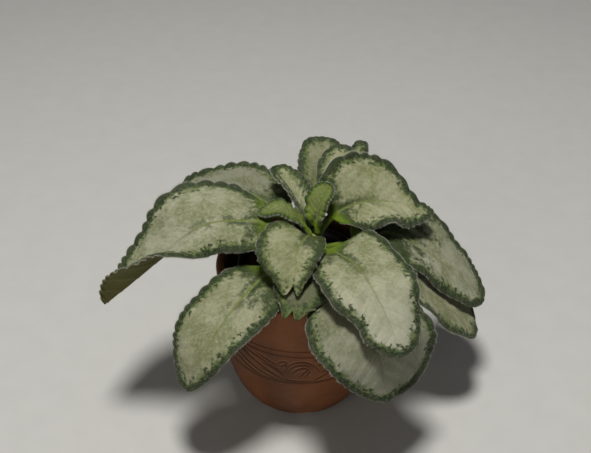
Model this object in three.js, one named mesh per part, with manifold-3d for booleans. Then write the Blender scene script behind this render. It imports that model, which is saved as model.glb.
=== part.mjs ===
// A potted primulina: a rosette of silver, scallop-edged leaves on a short stem, rooted in a black
// nursery pot that stands loose inside an unglazed clay pot.
// Millimetres, +Z up. The origin is the middle of the clay pot's flat foot. +X is to the right and
// the plant's front looks along -Y.

import * as THREE from "three";
import { mergeVertices } from "three/addons/utils/BufferGeometryUtils.js";
import Module from "manifold-3d";

const wasm = await Module();
wasm.setup();

// Clay pot
const RIM_RADIUS = 43;
const POT_HEIGHT = 83;
const FOOT_RADIUS = 26;
const SHOULDER_RADIUS = 40.8;
const SHOULDER_HEIGHT = 40;
const FOOT_SWELL = [39, 10];
const WALL = 4.5;
const FLOOR = 8;
const INNER_FLOOR_RADIUS = 27;
const INNER_SWELL = [35, 14];
const POT_SIDES = 44;
const OUTSIDE_HEIGHTS = [0, 3, 8, 15, 24, SHOULDER_HEIGHT];
const GROOVES = [36, 54, 57.5];
const GROOVE_DEPTH = 0.6;
const GROOVE_WIDTH = 1.6;

// Nursery pot
const GAP = 0.3;
const HOLE_GAP = 0.4;
const LINER_RIM_RADIUS = 32.3;
const LINER_RIM_DEPTH = 6;
const LINER_RIM_STEP = 1;
const LINER_TOP = 82;
const LINER_BASE_RADIUS = 24;
const LINER_WALL = 1.2;
const LINER_SIDES = 36;
const DRAIN_RADIUS = 3;
const DRAIN_CIRCLE = 16;
const DRAINS = 4;

// Potting mix
const SOIL_TOP = 77.5;
const SOIL_MOUND = 1.2;
const SOIL_RINGS = 5;
const SOIL_ROUND = 3;
const SOIL_SLACK = 0.4;
const HOLE_DEPTH = 40;
const HUMPS = [[0.5, 0.9, 0.8], [0.3, 1.7, 2.1]];

// Stem
const STEM_RADIUS = 4.4;
const STEM_BOTTOM = 64;
const STEM_TOP = 97;
const STEM_DOME = 3;
const STEM_LEAN_FROM = 79;
const STEM_LEAN = [6.2, 0.8];
const STEM_SIDES = 12;
const STEM_FOOT = [0.7, 2];
const STEM_STEP = 3;
const STEM_DOME_RINGS = [[0.9, 0.5], [0.55, 0.125], [0, 0]];
const LEAF_SCAR_DEPTH = 0.2;

// Leaves
const BLADE_THICKNESS = 0.8;
const KEEL = 0.9;
const STALK_HALF_WIDTH = 1.5;
const TOOTH_DEPTH = 0.05;
const ROOT_INSET = 2;
const EDGE_HALF_WIDTH = 0.35;
const TEETH = 12;
const SIDE_STEPS = [0, 0.35, 0.72, 1];
const SMALL_SIDE_STEPS = [0, 0.55, 1];
const STALK_ROWS = 4;
const SMALL_STALK_ROWS = 3;
const ROW_CROWDING = 0.7;
const RIB_SHARPNESS = 16;
const STALK_SINK = 0.9;
const STALK_RISE = 0.8;
const BLUNT_TIP = 0.4;
const WAIST_LENGTH = 0.13;
const TANGENT_STEP = 0.01;

// Each leaf: where it leaves the stem (bearing in degrees from +X, height), the points that its
// midrib runs through, the length of its stalk, and the form of its left and right half, seen from
// its root with the upper face up. Width is the half's greatest width, outline its two powers
// (base and tip), lift its angle at the midrib from base to tip, curl the further drop at the edge,
// wave the height of its ripples and ripple start in radians, lobe how far its base runs back, waist
// how much narrower it is at a place along the blade.
const LEAVES = [
  {
    name: "leaf_front_right", root: [-50, 92],
    line: [[24, -22, 98], [34, -44, 96], [42, -60, 85], [43, -67, 78]],
    stalk: 12, width: [24, 23], outline: [[0.2, 0.42], [0.3, 0.42]], roll: [0, 0, 0],
    lift: [[20, 12, 0], [20, 8, 0]], curl: 20,
    wave: [2, 2], ripples: 2.2, start: [0, 2], lobe: [7, 1], waist: [[0.06, 0.3], [0.24, 0.72]],
  },
  {
    name: "leaf_front_right_low", root: [-62, 86],
    line: [[17, -26, 89], [25, -44, 88], [35, -61, 75], [40, -67, 50]],
    stalk: 30, width: [33, 27], outline: [[0.5, 0.3], [0.5, 0.7]], roll: [0, 0, 0],
    lift: [[15, 5, 0], [-10, -6, 0]], curl: 20,
    wave: [1.5, 1.5], ripples: 2, start: [0, 0], lobe: [0, 0],
  },
  {
    name: "leaf_front_left_low", root: [225, 88],
    line: [[-16, -21, 90.5], [-31, -40, 85.5], [-45, -56, 70], [-54, -59, 48]],
    stalk: 24, width: [18, 24], outline: [[0.15, 0.7], [0.5, 0.4]], roll: [0, 0, 0],
    lift: [[-8, -8, 0], [10, 5, 0]], curl: 15,
    wave: [1, 1], ripples: 2, start: [0, 0], lobe: [0, 0],
  },
  {
    name: "leaf_left", root: [192, 92],
    line: [[-21, -2, 107], [-48, -5, 107], [-70, -12, 92], [-84, -18, 82], [-97, -22, 72]],
    stalk: 20, width: [22, 29], outline: [[0.36, 0.5], [0.5, 0.85]], roll: [-10, -20, -5],
    lift: [[-10, 5, 70, 100], [-8, 5, 10]], curl: 15,
    wave: [2, 2], ripples: 2.5, start: [0, 0], lobe: [0, 0], waist: [[0.25, 0.32], [0, 0]],
  },
  {
    name: "leaf_back_left", root: [145, 90],
    line: [[-10, 13.5, 101.5], [-27, 24, 107.5], [-45, 32, 106], [-62, 37, 104]],
    stalk: 18, width: [13, 26], outline: [[0.6, 0.45], [0.6, 0.45]], roll: [0, 0, 0],
    lift: [[-10, -10, 0], [10, 5, 0]], curl: 15,
    wave: [1, 1], ripples: 2, start: [0, 0], lobe: [0, 0],
  },
  {
    name: "leaf_back_right", root: [35, 93],
    line: [[16, 9, 103], [30, 17, 106], [49, 23, 102], [69, 24, 96]],
    stalk: 14.5, width: [27, 17], outline: [[0.6, 1], [0.4, 0.5]], roll: [10, 15, 10],
    lift: [[45, 30, 5], [5, 5, 0]], curl: 15,
    wave: [1, 4], ripples: 1.9, start: [0, 1.7], lobe: [0, 0], waist: [[0.45, 0.86], [0, 0]],
  },
  {
    name: "leaf_right", root: [10, 89],
    line: [[26, 7, 88.5], [44, 11, 91], [62, 11, 82], [81, 7, 67], [96, 4, 52]],
    stalk: 22, width: [30, 16], outline: [[0.45, 0.42], [0.35, 0.42]], roll: [0, 15, 15],
    lift: [[10, 5, 0], [12, 6, -5]], curl: 20,
    wave: [1.5, 1.5], ripples: 2.5, start: [0, 0], lobe: [0, 0],
  },
  {
    name: "leaf_right_low", root: [-15, 86],
    line: [[28, -8, 88], [45, -10, 86], [67, -9, 66], [92, -9, 43]],
    stalk: 30, width: [30, 15], outline: [[0.6, 0.26], [0.6, 0.42]], roll: [0, 0, 0],
    lift: [[-12, -3, 4], [10, 5, 0]], curl: 15,
    wave: [1.5, 1.5], ripples: 2.5, start: [0, 0], lobe: [0, 0],
  },
  {
    name: "leaf_centre_front", root: [258, 96],
    line: [[2, -10, 103], [-2, -22, 104], [-3.2, -32, 99.8], [-3.7, -37, 95.5]],
    stalk: 6, width: [12, 20], outline: [[0.4, 0.5], [0.4, 0.5]], roll: [0, 0, 0],
    lift: [[20, 12, 8], [40, 25, 8]], curl: 25,
    wave: [1, 1], ripples: 2, start: [0, 0], lobe: [2, 0], notch: 5, teeth: 10,
  },
  {
    name: "leaf_under_centre", root: [262, 90],
    line: [[1, -20, 94], [-1, -34, 91.6], [-4, -45, 87]],
    stalk: 10, width: [15, 13], outline: [[0.4, 0.4], [0.4, 0.4]], roll: [0, 0, 0],
    lift: [[12, 12, 12], [25, 15, 10]], curl: 25,
    wave: [1, 1], ripples: 2, start: [0, 0], lobe: [0, 0], notch: 5, teeth: 10,
  },
  {
    name: "leaf_back_high_left", root: [110, 87],
    line: [[3, 17, 98], [7, 37, 104], [11, 54, 110.5], [12, 65, 117]],
    stalk: 28, width: [12, 11], outline: [[0.6, 0.22], [0.6, 0.22]], roll: [0, 0, 0],
    lift: [[25, 15, 5], [5, -5, -5]], curl: 10,
    wave: [1, 1], ripples: 2, start: [0, 0], lobe: [0, 0], teeth: 10, small: true,
  },
  {
    name: "leaf_back_high_mid", root: [70, 90],
    line: [[14, 22, 106], [19, 41, 114], [24, 53, 119]],
    stalk: 22, width: [10, 9], outline: [[0.6, 0.3], [0.6, 0.4]], roll: [0, 0, 0],
    lift: [[20, 10, 0], [20, 10, 0]], curl: 10,
    wave: [1, 1], ripples: 2, start: [0, 0], lobe: [0, 0], teeth: 9, small: true,
  },
  {
    name: "leaf_back_far_right", root: [48, 86],
    line: [[20, 30, 99], [29, 50, 106], [33.5, 64, 115]],
    stalk: 36, width: [6, 5], outline: [[0.5, 0.25], [0.5, 0.25]], roll: [0, 0, 0],
    lift: [[20, 10, 0], [20, 10, 0]], curl: 10,
    wave: [0.5, 0.5], ripples: 2, start: [0, 0], lobe: [0, 0], teeth: 7, small: true,
  },
  {
    name: "leaf_upright_left", root: [128, 96],
    line: [[-1, 15, 104], [-7, 23, 111], [-15, 31, 118]],
    stalk: 5, width: [6.5, 11], outline: [[0.45, 0.35], [0.45, 0.3]], roll: [0, 0, 0],
    lift: [[60, 60, 40], [25, 20, 10]], curl: 10,
    wave: [0.5, 0.5], ripples: 2, start: [0, 0], lobe: [0, 0], teeth: 8, small: true,
  },
  {
    name: "leaf_inner_left", root: [195, 98],
    line: [[-3, 2.2, 107.8], [-11, 3.5, 111.8], [-21, 1.5, 109.5]],
    stalk: 5, width: [6, 6.5], outline: [[0.45, 0.4], [0.55, 0.4]], roll: [0, 0, 0],
    lift: [[15, 5, 0], [20, 15, 5]], curl: 10,
    wave: [0.5, 0.5], ripples: 2, start: [0, 0], lobe: [0, 0], teeth: 7, small: true,
  },
  {
    name: "leaf_inner_upright", root: [30, 98],
    line: [[8, 4, 105], [10, 8, 113], [15.5, 12, 120]],
    stalk: 3.5, width: [8, 6], outline: [[0.55, 0.4], [0.4, 0.4]], roll: [0, 0, 0],
    lift: [[30, 20, 10], [40, 30, 20]], curl: 10,
    wave: [0.5, 0.5], ripples: 2, start: [0, 0], lobe: [0, 0], teeth: 7, small: true,
  },
];

function material(color, roughness) {
  return new THREE.MeshStandardMaterial({ color, roughness, metalness: 0 });
}

function toManifold(geometry) {
  const bare = geometry.clone();
  bare.deleteAttribute("normal");
  bare.deleteAttribute("uv");
  const merged = mergeVertices(bare, 1e-4);
  const index = merged.index.array;
  const triangles = [];
  for (let i = 0; i < index.length; i += 3) {
    const [a, b, c] = [index[i], index[i + 1], index[i + 2]];
    if (a !== b && b !== c && c !== a) triangles.push(a, b, c);
  }
  return new wasm.Manifold(new wasm.Mesh({
    numProp: 3,
    vertProperties: new Float32Array(merged.attributes.position.array),
    triVerts: new Uint32Array(triangles),
  }));
}

function fromManifold(solid) {
  const mesh = solid.getMesh();
  const geometry = new THREE.BufferGeometry();
  geometry.setAttribute("position", new THREE.Float32BufferAttribute(mesh.vertProperties, 3));
  geometry.setIndex([...mesh.triVerts]);
  geometry.computeVertexNormals();
  return geometry;
}

// A turned form: the profile's points are [radius, height] and it stands along +Z.
function turned(profile, sides) {
  const points = profile.map(([radius, height]) => new THREE.Vector2(radius, height));
  const geometry = new THREE.LatheGeometry(points, sides);
  geometry.rotateX(Math.PI / 2);
  return geometry;
}

// Clay pot: a flat foot, a swelling foot zone, a nearly straight wall and a rounded lip
const LIP = WALL / 2;
const LIP_FROM = POT_HEIGHT - LIP;

function wallRadius(height) {
  if (height > SHOULDER_HEIGHT) {
    const share = (height - SHOULDER_HEIGHT) / (LIP_FROM - SHOULDER_HEIGHT);
    return THREE.MathUtils.lerp(SHOULDER_RADIUS, RIM_RADIUS, share);
  }
  const [swell, rise] = FOOT_SWELL;
  const bend = SHOULDER_HEIGHT - 2 * rise;
  const t = (Math.sqrt(rise * rise + bend * height) - rise) / bend;
  return (1 - t) ** 2 * FOOT_RADIUS + 2 * t * (1 - t) * swell + t * t * SHOULDER_RADIUS;
}

function clayPot() {
  const outside = OUTSIDE_HEIGHTS.map((height) => [wallRadius(height), height]);
  for (const groove of GROOVES) {
    for (const [offset, depth] of [[-GROOVE_WIDTH / 2, 0], [0, GROOVE_DEPTH], [GROOVE_WIDTH / 2, 0]]) {
      outside.push([wallRadius(groove + offset) - depth, groove + offset]);
    }
  }
  outside.sort((a, b) => a[1] - b[1]);
  const inside = new THREE.Path();
  inside.absarc(RIM_RADIUS - LIP, LIP_FROM, LIP, 0, Math.PI, false);
  inside.lineTo(SHOULDER_RADIUS - WALL, SHOULDER_HEIGHT);
  inside.quadraticCurveTo(...INNER_SWELL, INNER_FLOOR_RADIUS, FLOOR);
  inside.lineTo(0, FLOOR);
  const rest = inside.getPoints(4).map((point) => [point.x, point.y]);
  return turned([[0, 0], ...outside, ...rest], POT_SIDES);
}

// Nursery pot: a thin tapered cup with a stepped-out rim and drain holes in its floor
function linerRadius(height) {
  const slope = (LINER_RIM_RADIUS - LINER_RIM_STEP - LINER_BASE_RADIUS) / (LINER_TOP - FLOOR);
  return LINER_BASE_RADIUS + slope * (height - FLOOR);
}

function nurseryPot() {
  const foot = FLOOR + GAP;
  const step = LINER_TOP - LINER_RIM_DEPTH;
  const inside = LINER_RIM_RADIUS - LINER_WALL;
  const cup = turned([
    [0, foot],
    [LINER_BASE_RADIUS - 1, foot],
    [LINER_BASE_RADIUS, foot + 1],
    [linerRadius(step), step],
    [LINER_RIM_RADIUS, step + 0.6],
    [LINER_RIM_RADIUS, LINER_TOP - 0.3],
    [LINER_RIM_RADIUS - 0.3, LINER_TOP],
    [inside, LINER_TOP],
    [inside, step + 1.4],
    [linerRadius(step) - LINER_WALL, step + 0.6],
    [LINER_BASE_RADIUS - LINER_WALL, foot + LINER_WALL],
    [0, foot + LINER_WALL],
  ], LINER_SIDES);
  let solid = toManifold(cup);
  for (let i = 0; i < DRAINS; i += 1) {
    const angle = ((i + 0.5) / DRAINS) * 2 * Math.PI;
    const drill = new THREE.CylinderGeometry(DRAIN_RADIUS, DRAIN_RADIUS, 6, 16);
    drill.rotateX(Math.PI / 2);
    drill.translate(DRAIN_CIRCLE * Math.cos(angle), DRAIN_CIRCLE * Math.sin(angle), foot);
    solid = solid.subtract(toManifold(drill));
  }
  return fromManifold(solid);
}

// Stem: a stub that leans as it rises, with a domed top
function stemAxis(height) {
  const t = Math.max(0, (height - STEM_LEAN_FROM) / (STEM_TOP - STEM_LEAN_FROM));
  return [STEM_LEAN[0] * t, STEM_LEAN[1] * t];
}

function stem(grown) {
  const radius = STEM_RADIUS + grown;
  const [footShare, footRise] = STEM_FOOT;
  const foot = STEM_BOTTOM - grown;
  const profile = [[0, foot], [radius * footShare, foot], [radius, STEM_BOTTOM + footRise]];
  for (let height = STEM_LEAN_FROM - STEM_STEP; height < STEM_TOP - STEM_DOME; height += STEM_STEP) {
    profile.push([radius - (height % 2 ? 0 : LEAF_SCAR_DEPTH), height]);
  }
  for (const [share, drop] of STEM_DOME_RINGS) {
    profile.push([share ? STEM_RADIUS * share + grown : 0, STEM_TOP - drop * STEM_DOME + grown]);
  }
  const geometry = turned(profile, STEM_SIDES);
  const position = geometry.attributes.position;
  for (let i = 0; i < position.count; i += 1) {
    const [dx, dy] = stemAxis(position.getZ(i));
    position.setXY(i, position.getX(i) + dx, position.getY(i) + dy);
  }
  geometry.computeVertexNormals();
  return geometry;
}

// Potting mix: it fills the nursery pot, lies a little uneven on top and has a plain hole for the stem
function soil() {
  const foot = FLOOR + GAP + LINER_WALL + GAP;
  const clear = LINER_WALL + GAP;
  const edge = linerRadius(SOIL_TOP) - clear - SOIL_SLACK;
  const base = LINER_BASE_RADIUS - clear - SOIL_SLACK;
  const profile = [[0, foot], [base, foot], [edge, SOIL_TOP - SOIL_ROUND]];
  for (let i = 0; i < SOIL_RINGS; i += 1) {
    const radius = edge * (1 - i / SOIL_RINGS) - (i === 0 ? SOIL_SLACK : 0);
    profile.push([radius, SOIL_TOP + SOIL_MOUND * (i / SOIL_RINGS)]);
  }
  profile.push([0, SOIL_TOP + SOIL_MOUND]);
  const geometry = turned(profile, LINER_SIDES);
  const position = geometry.attributes.position;
  for (let i = 0; i < position.count; i += 1) {
    const [x, y, z] = [position.getX(i), position.getY(i), position.getZ(i)];
    const [[high, a, b], [low, c, d]] = HUMPS;
    const unevenness = high * Math.sin(x * a) * Math.cos(y * b) + low * Math.sin(x * c + y * d);
    if (z >= SOIL_TOP) position.setZ(i, z + unevenness);
  }
  const holeRadius = STEM_RADIUS + HOLE_GAP;
  const hole = new THREE.CylinderGeometry(holeRadius, holeRadius, HOLE_DEPTH, STEM_SIDES * 2);
  hole.rotateX(Math.PI / 2);
  hole.translate(0, 0, STEM_BOTTOM - GAP + HOLE_DEPTH / 2);
  return fromManifold(toManifold(geometry).subtract(toManifold(hole)));
}

function ease(x) {
  return x * x * (3 - 2 * x);
}

// A value that eases through the listed ones as x runs from 0 to 1
function along(x, values) {
  const place = Math.min(Math.max(x, 0), 1) * (values.length - 1);
  const i = Math.min(Math.floor(place), values.length - 2);
  return THREE.MathUtils.lerp(values[i], values[i + 1], ease(place - i));
}

function midrib(leaf) {
  const [bearing, height] = leaf.root;
  const angle = THREE.MathUtils.degToRad(bearing);
  const [x, y] = stemAxis(height);
  const root = new THREE.Vector3(x, y, height);
  root.add(new THREE.Vector3(Math.cos(angle), Math.sin(angle), 0).multiplyScalar(ROOT_INSET));
  const points = [root, ...leaf.line.map((point) => new THREE.Vector3(...point))];
  return new THREE.CatmullRomCurve3(points, false, "catmullrom", 0.5);
}

// The width of a half at v, from 0 at the blade's base to 1 at its tip, as a part of its greatest width
function outline(v, [base, tip]) {
  if (v <= 0) return 0;
  const widest = base / (base + tip);
  return (v / widest) ** base * ((1 - v) / (1 - widest)) ** tip;
}

// The blade's middle surface as rows of points from root to tip, with the side columns in each row
function leafRows(leaf) {
  const curve = midrib(leaf);
  const length = curve.getLength();
  const teeth = leaf.teeth ?? TEETH;
  const steps = (leaf.small ? SMALL_SIDE_STEPS : SIDE_STEPS).slice(1);
  const columns = [...steps.toReversed().map((u) => [-1, u]), [1, 0], ...steps.map((u) => [1, u])];
  const stalkRows = leaf.small ? SMALL_STALK_ROWS : STALK_ROWS;
  const heading = curve.getPoint(1).sub(curve.getPoint(0));
  const side = new THREE.Vector3(-heading.y, heading.x, 0).normalize();
  const stalkShare = leaf.stalk / length;
  const rows = [];
  for (let i = -stalkRows; i <= 2 * teeth; i += 1) {
    const t = Math.max(0, i) / (2 * teeth);
    const v = THREE.MathUtils.lerp(t, Math.sin((Math.PI * t) / 2), ROW_CROWDING);
    const s = i < 0 ? stalkShare * (1 + i / stalkRows) : stalkShare + (1 - stalkShare) * v;
    const centre = curve.getPointAt(Math.min(s, 1));
    const before = curve.getPointAt(Math.max(s - TANGENT_STEP, 0));
    const forward = curve.getPointAt(Math.min(s + TANGENT_STEP, 1)).sub(before).normalize();
    const across = side.clone().addScaledVector(forward, -side.dot(forward)).normalize();
    across.applyAxisAngle(forward, THREE.MathUtils.degToRad(along(s, leaf.roll)));
    const up = new THREE.Vector3().crossVectors(forward, across);
    const onBlade = Math.min(v * 8, 1);
    const points = columns.map(([hand, u]) => {
      const half = hand > 0 ? 0 : 1;
      const tooth = (Math.abs(Math.sin(Math.PI * teeth * t)) - 0.5) * TOOTH_DEPTH * Math.min(1, t * 6);
      const [narrower, waistAt] = leaf.waist?.[half] ?? [0, 0];
      const waist = 1 - narrower * Math.exp(-(((v - waistAt) / WAIST_LENGTH) ** 2));
      const spread = leaf.width[half] * outline(v, leaf.outline[half]) * (1 + tooth) * waist;
      const blunt = leaf.notch ? leaf.width[half] * BLUNT_TIP * v ** 8 : 0;
      const width = Math.max(EDGE_HALF_WIDTH, Math.hypot(STALK_HALF_WIDTH * (1 - v), spread, blunt));
      const lift = THREE.MathUtils.degToRad(along(v, leaf.lift[half])) * onBlade;
      const curl = Math.max(1e-3, THREE.MathUtils.degToRad(leaf.curl) * onBlade);
      const out = (width * (Math.sin(lift) - Math.sin(lift - curl * u))) / curl;
      const rise = (width * (Math.cos(lift - curl * u) - Math.cos(lift))) / curl;
      const ripple = leaf.wave[half] * Math.sin(2 * Math.PI * leaf.ripples * v + leaf.start[half]) * u * u;
      const notch = (leaf.notch ?? 0) * v ** 6 * Math.sin(Math.PI * u);
      const ahead = notch - leaf.lobe[half] * u * onBlade * (1 - v) ** 3;
      return centre.clone()
        .addScaledVector(across, hand * out)
        .addScaledVector(up, rise + ripple * Math.sin(Math.PI * v ** 0.8))
        .addScaledVector(forward, ahead);
    });
    rows.push({ points, v });
  }
  return { rows, columns };
}

// The normal of the middle surface at each point, from its neighbours in the row and the column
function rowNormals(rows) {
  const last = rows.length - 1;
  return rows.map((row, i) => row.points.map((_, j) => {
    const ahead = rows[Math.min(i + 1, last)].points[j].clone().sub(rows[Math.max(i - 1, 0)].points[j]);
    const end = row.points.length - 1;
    const over = row.points[Math.min(j + 1, end)].clone().sub(row.points[Math.max(j - 1, 0)]);
    return ahead.cross(over).normalize();
  }));
}

// Stalk and blade as one closed solid, with the same diagonals on its upper and lower face
function leafSolid(leaf) {
  const { rows, columns } = leafRows(leaf);
  const normals = rowNormals(rows);
  const [count, width] = [rows.length, columns.length];
  const upper = [];
  const lower = [];
  rows.forEach((row, i) => {
    const flat = Math.min(row.v * 6, 1);
    columns.forEach(([, u], j) => {
      const round = STALK_HALF_WIDTH * Math.sqrt(1 - 0.75 * u * u) * (1 - flat);
      const keel = KEEL * (1 - row.v) ** 0.8 * Math.exp(-RIB_SHARPNESS * u * u);
      const above = STALK_RISE * round + flat * (BLADE_THICKNESS / 2);
      const below = STALK_SINK * round + flat * (BLADE_THICKNESS / 2 + keel);
      upper.push(row.points[j].clone().addScaledVector(normals[i][j], above));
      lower.push(row.points[j].clone().addScaledVector(normals[i][j], -below));
    });
  });
  const under = count * width;
  const faces = [];
  for (let i = 0; i < count - 1; i += 1) {
    for (let j = 0; j < width - 1; j += 1) {
      const [a, b, c, d] = [i * width + j, i * width + j + 1, (i + 1) * width + j + 1, (i + 1) * width + j];
      faces.push(a, c, b, a, d, c, under + a, under + b, under + c, under + a, under + c, under + d);
    }
    const [a, d] = [i * width, (i + 1) * width];
    faces.push(a, under + d, d, a, under + a, under + d);
    const [b, c] = [a + width - 1, d + width - 1];
    faces.push(b, c, under + c, b, under + c, under + b);
  }
  for (let j = 0; j < width - 1; j += 1) {
    const [a, b] = [j, j + 1];
    const [c, d] = [(count - 1) * width + j, (count - 1) * width + j + 1];
    faces.push(a, b, under + b, a, under + b, under + a, c, under + d, d, c, under + c, under + d);
  }
  const geometry = new THREE.BufferGeometry();
  const coordinates = [...upper, ...lower].flatMap((point) => point.toArray());
  geometry.setAttribute("position", new THREE.Float32BufferAttribute(coordinates, 3));
  geometry.setIndex(faces);
  return geometry;
}

const clay = material(0x7a4a32, 0.85);
const plastic = material(0x101012, 0.5);
const mix = material(0x2c2118, 1);
const stalkGreen = material(0x7f9a3a, 0.7);
const silver = material(0xaab39a, 0.75);

const group = new THREE.Group();

function place(name, geometry, finish) {
  const mesh = new THREE.Mesh(geometry, finish.clone());
  mesh.name = name;
  group.add(mesh);
}

place("clay_pot", clayPot(), clay);
place("nursery_pot", nurseryPot(), plastic);
place("potting_mix", soil(), mix);
place("stem", stem(0), stalkGreen);
const stemSeat = toManifold(stem(GAP));
for (const leaf of LEAVES) {
  place(leaf.name, fromManifold(toManifold(leafSolid(leaf)).subtract(stemSeat)), silver);
}

export default group;
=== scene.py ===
# %% [markdown]
# # A potted primulina
# A rosette of silver, velvety leaves grows from a short stem. The plant stands in a thin black
# nursery pot, and that pot stands loose in a small pot of unglazed clay with a carved band.
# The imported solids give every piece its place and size. This lesson dresses them: each piece is
# built again with finer faces in the same place, and gets a finish made from nodes.

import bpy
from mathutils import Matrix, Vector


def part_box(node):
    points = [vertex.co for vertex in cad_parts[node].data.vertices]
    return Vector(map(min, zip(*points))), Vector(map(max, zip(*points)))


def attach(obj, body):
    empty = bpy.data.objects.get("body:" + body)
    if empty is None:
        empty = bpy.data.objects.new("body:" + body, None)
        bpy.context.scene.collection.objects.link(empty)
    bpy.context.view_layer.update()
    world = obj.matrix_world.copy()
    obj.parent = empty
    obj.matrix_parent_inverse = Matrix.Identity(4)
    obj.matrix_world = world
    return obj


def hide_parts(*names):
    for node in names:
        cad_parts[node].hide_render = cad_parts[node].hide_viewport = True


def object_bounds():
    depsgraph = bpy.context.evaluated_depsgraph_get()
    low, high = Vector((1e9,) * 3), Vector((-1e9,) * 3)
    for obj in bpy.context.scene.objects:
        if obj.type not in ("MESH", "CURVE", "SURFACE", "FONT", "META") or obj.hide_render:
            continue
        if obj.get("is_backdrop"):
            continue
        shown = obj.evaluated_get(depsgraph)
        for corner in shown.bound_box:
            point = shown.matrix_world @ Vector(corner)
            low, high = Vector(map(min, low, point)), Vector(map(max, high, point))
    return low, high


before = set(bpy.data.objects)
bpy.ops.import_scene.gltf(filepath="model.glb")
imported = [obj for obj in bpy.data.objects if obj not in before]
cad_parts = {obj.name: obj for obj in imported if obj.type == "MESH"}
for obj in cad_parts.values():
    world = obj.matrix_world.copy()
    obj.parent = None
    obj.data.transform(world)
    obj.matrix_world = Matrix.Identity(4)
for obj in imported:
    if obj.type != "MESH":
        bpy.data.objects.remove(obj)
cad_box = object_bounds()
print("nodes in the frame:", len(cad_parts))

# %% [markdown]
# ## Camera
# The rim, the side and the foot of the clay pot are three circles whose shapes in the picture fix
# the camera: 35 degrees above the table, about half a metre away, level from left to right. The
# picture is 591 pixels wide and the fit gives a focal length of 975 pixels, so the lens follows
# from the sensor's width. A matched camera comes first, because every later choice is judged in it.

# %% Place the camera
import math
import bpy

PICTURE_WIDTH = 591
FOCAL_PIXELS = 975
SENSOR_MM = 36
CAMERA_PLACE = (-0.0027, -0.3948, 0.3796)
LOOKS_DOWN = math.radians(35)

def put_in_scene(name, data):
    """An object that shows the data, linked to the scene."""
    thing = bpy.data.objects.new(name, data)
    bpy.context.scene.collection.objects.link(thing)
    return thing


lens = bpy.data.cameras.new("camera")
lens.sensor_width = SENSOR_MM
lens.lens = SENSOR_MM * FOCAL_PIXELS / PICTURE_WIDTH
lens.clip_start = 0.01
camera = put_in_scene("camera", lens)
camera.location = CAMERA_PLACE
camera.rotation_euler = (math.pi / 2 - LOOKS_DOWN, 0, 0)
bpy.context.scene.camera = camera
print("lens in millimetres:", round(lens.lens, 1))

# %% [markdown]
# ## Meshes from arrays
# Leaves and pots are grids: rows of points that run along a form. Blender can make such forms with
# modifiers, but here each point is worked out by a formula, so numpy arrays hold the points and one
# helper turns them into a mesh. Extra numbers per point, such as how far it lies from a leaf's edge,
# are kept as named attributes, which the materials read later.

# %% Helper for meshes
import numpy as np

MM = 0.001


def mesh_of(name, points, faces):
    """A mesh from points, and faces as tuples of point numbers."""
    mesh = bpy.data.meshes.new(name)
    mesh.from_pydata(np.asarray(points, float).tolist(), [], faces)
    return mesh


def make_piece(name, points, faces, node=None, slot=None, **attributes):
    """A smooth mesh object from arrays, riding on the part's one body and standing for a node."""
    mesh = mesh_of(name, points, faces)
    mesh.validate()
    for key, values in attributes.items():
        mesh.attributes.new(key, "FLOAT", "POINT").data.foreach_set("value", np.ravel(values))
    mesh.shade_smooth()
    piece = put_in_scene(name, mesh)
    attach(piece, "root")
    if node:
        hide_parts(node)
    print(name, "has", len(mesh.polygons), "faces")
    return piece


# %% Helpers for turned forms
def turned_grid(radii, heights, columns):
    """Points of a turned form, as rows by columns. Column 0 faces the front, and +X comes next."""
    around = np.arange(columns) * 2 * math.pi / columns
    radii = np.broadcast_to(np.reshape(radii, (len(heights), -1)), (len(heights), columns))
    x = radii * np.sin(around)
    y = -radii * np.cos(around)
    z = np.broadcast_to(np.reshape(heights, (len(heights), -1)), radii.shape)
    return np.stack([x, y, z], axis=-1)


def closed_turning(grid):
    """Points and faces of a turned grid, whose first and last row are closed by fans to a middle."""
    rows, columns = grid.shape[:2]
    middles = [grid[0].mean(axis=0), grid[-1].mean(axis=0)]
    points = np.vstack([grid.reshape(-1, 3), middles])
    faces = []
    for j in range(columns):
        k = (j + 1) % columns
        faces.append((rows * columns, k, j))
        faces.append((rows * columns + 1, (rows - 1) * columns + j, (rows - 1) * columns + k))
        for i in range(rows - 1):
            faces.append((i * columns + j, i * columns + k, (i + 1) * columns + k, (i + 1) * columns + j))
    return points, faces


print("faces of a closed three-sided bar:", len(closed_turning(turned_grid([1, 1], [0, 1], 3))[1]))

# %% [markdown]
# ## Finishes from nodes
# A finish on a real thing is never one flat colour: clay is speckled, a leaf is mottled. Each is
# mixed from noise and from the attributes. Writing node trees by hand is long, so a small class
# keeps the material, adds nodes and links them, and each finish below reads like a recipe.

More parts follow.
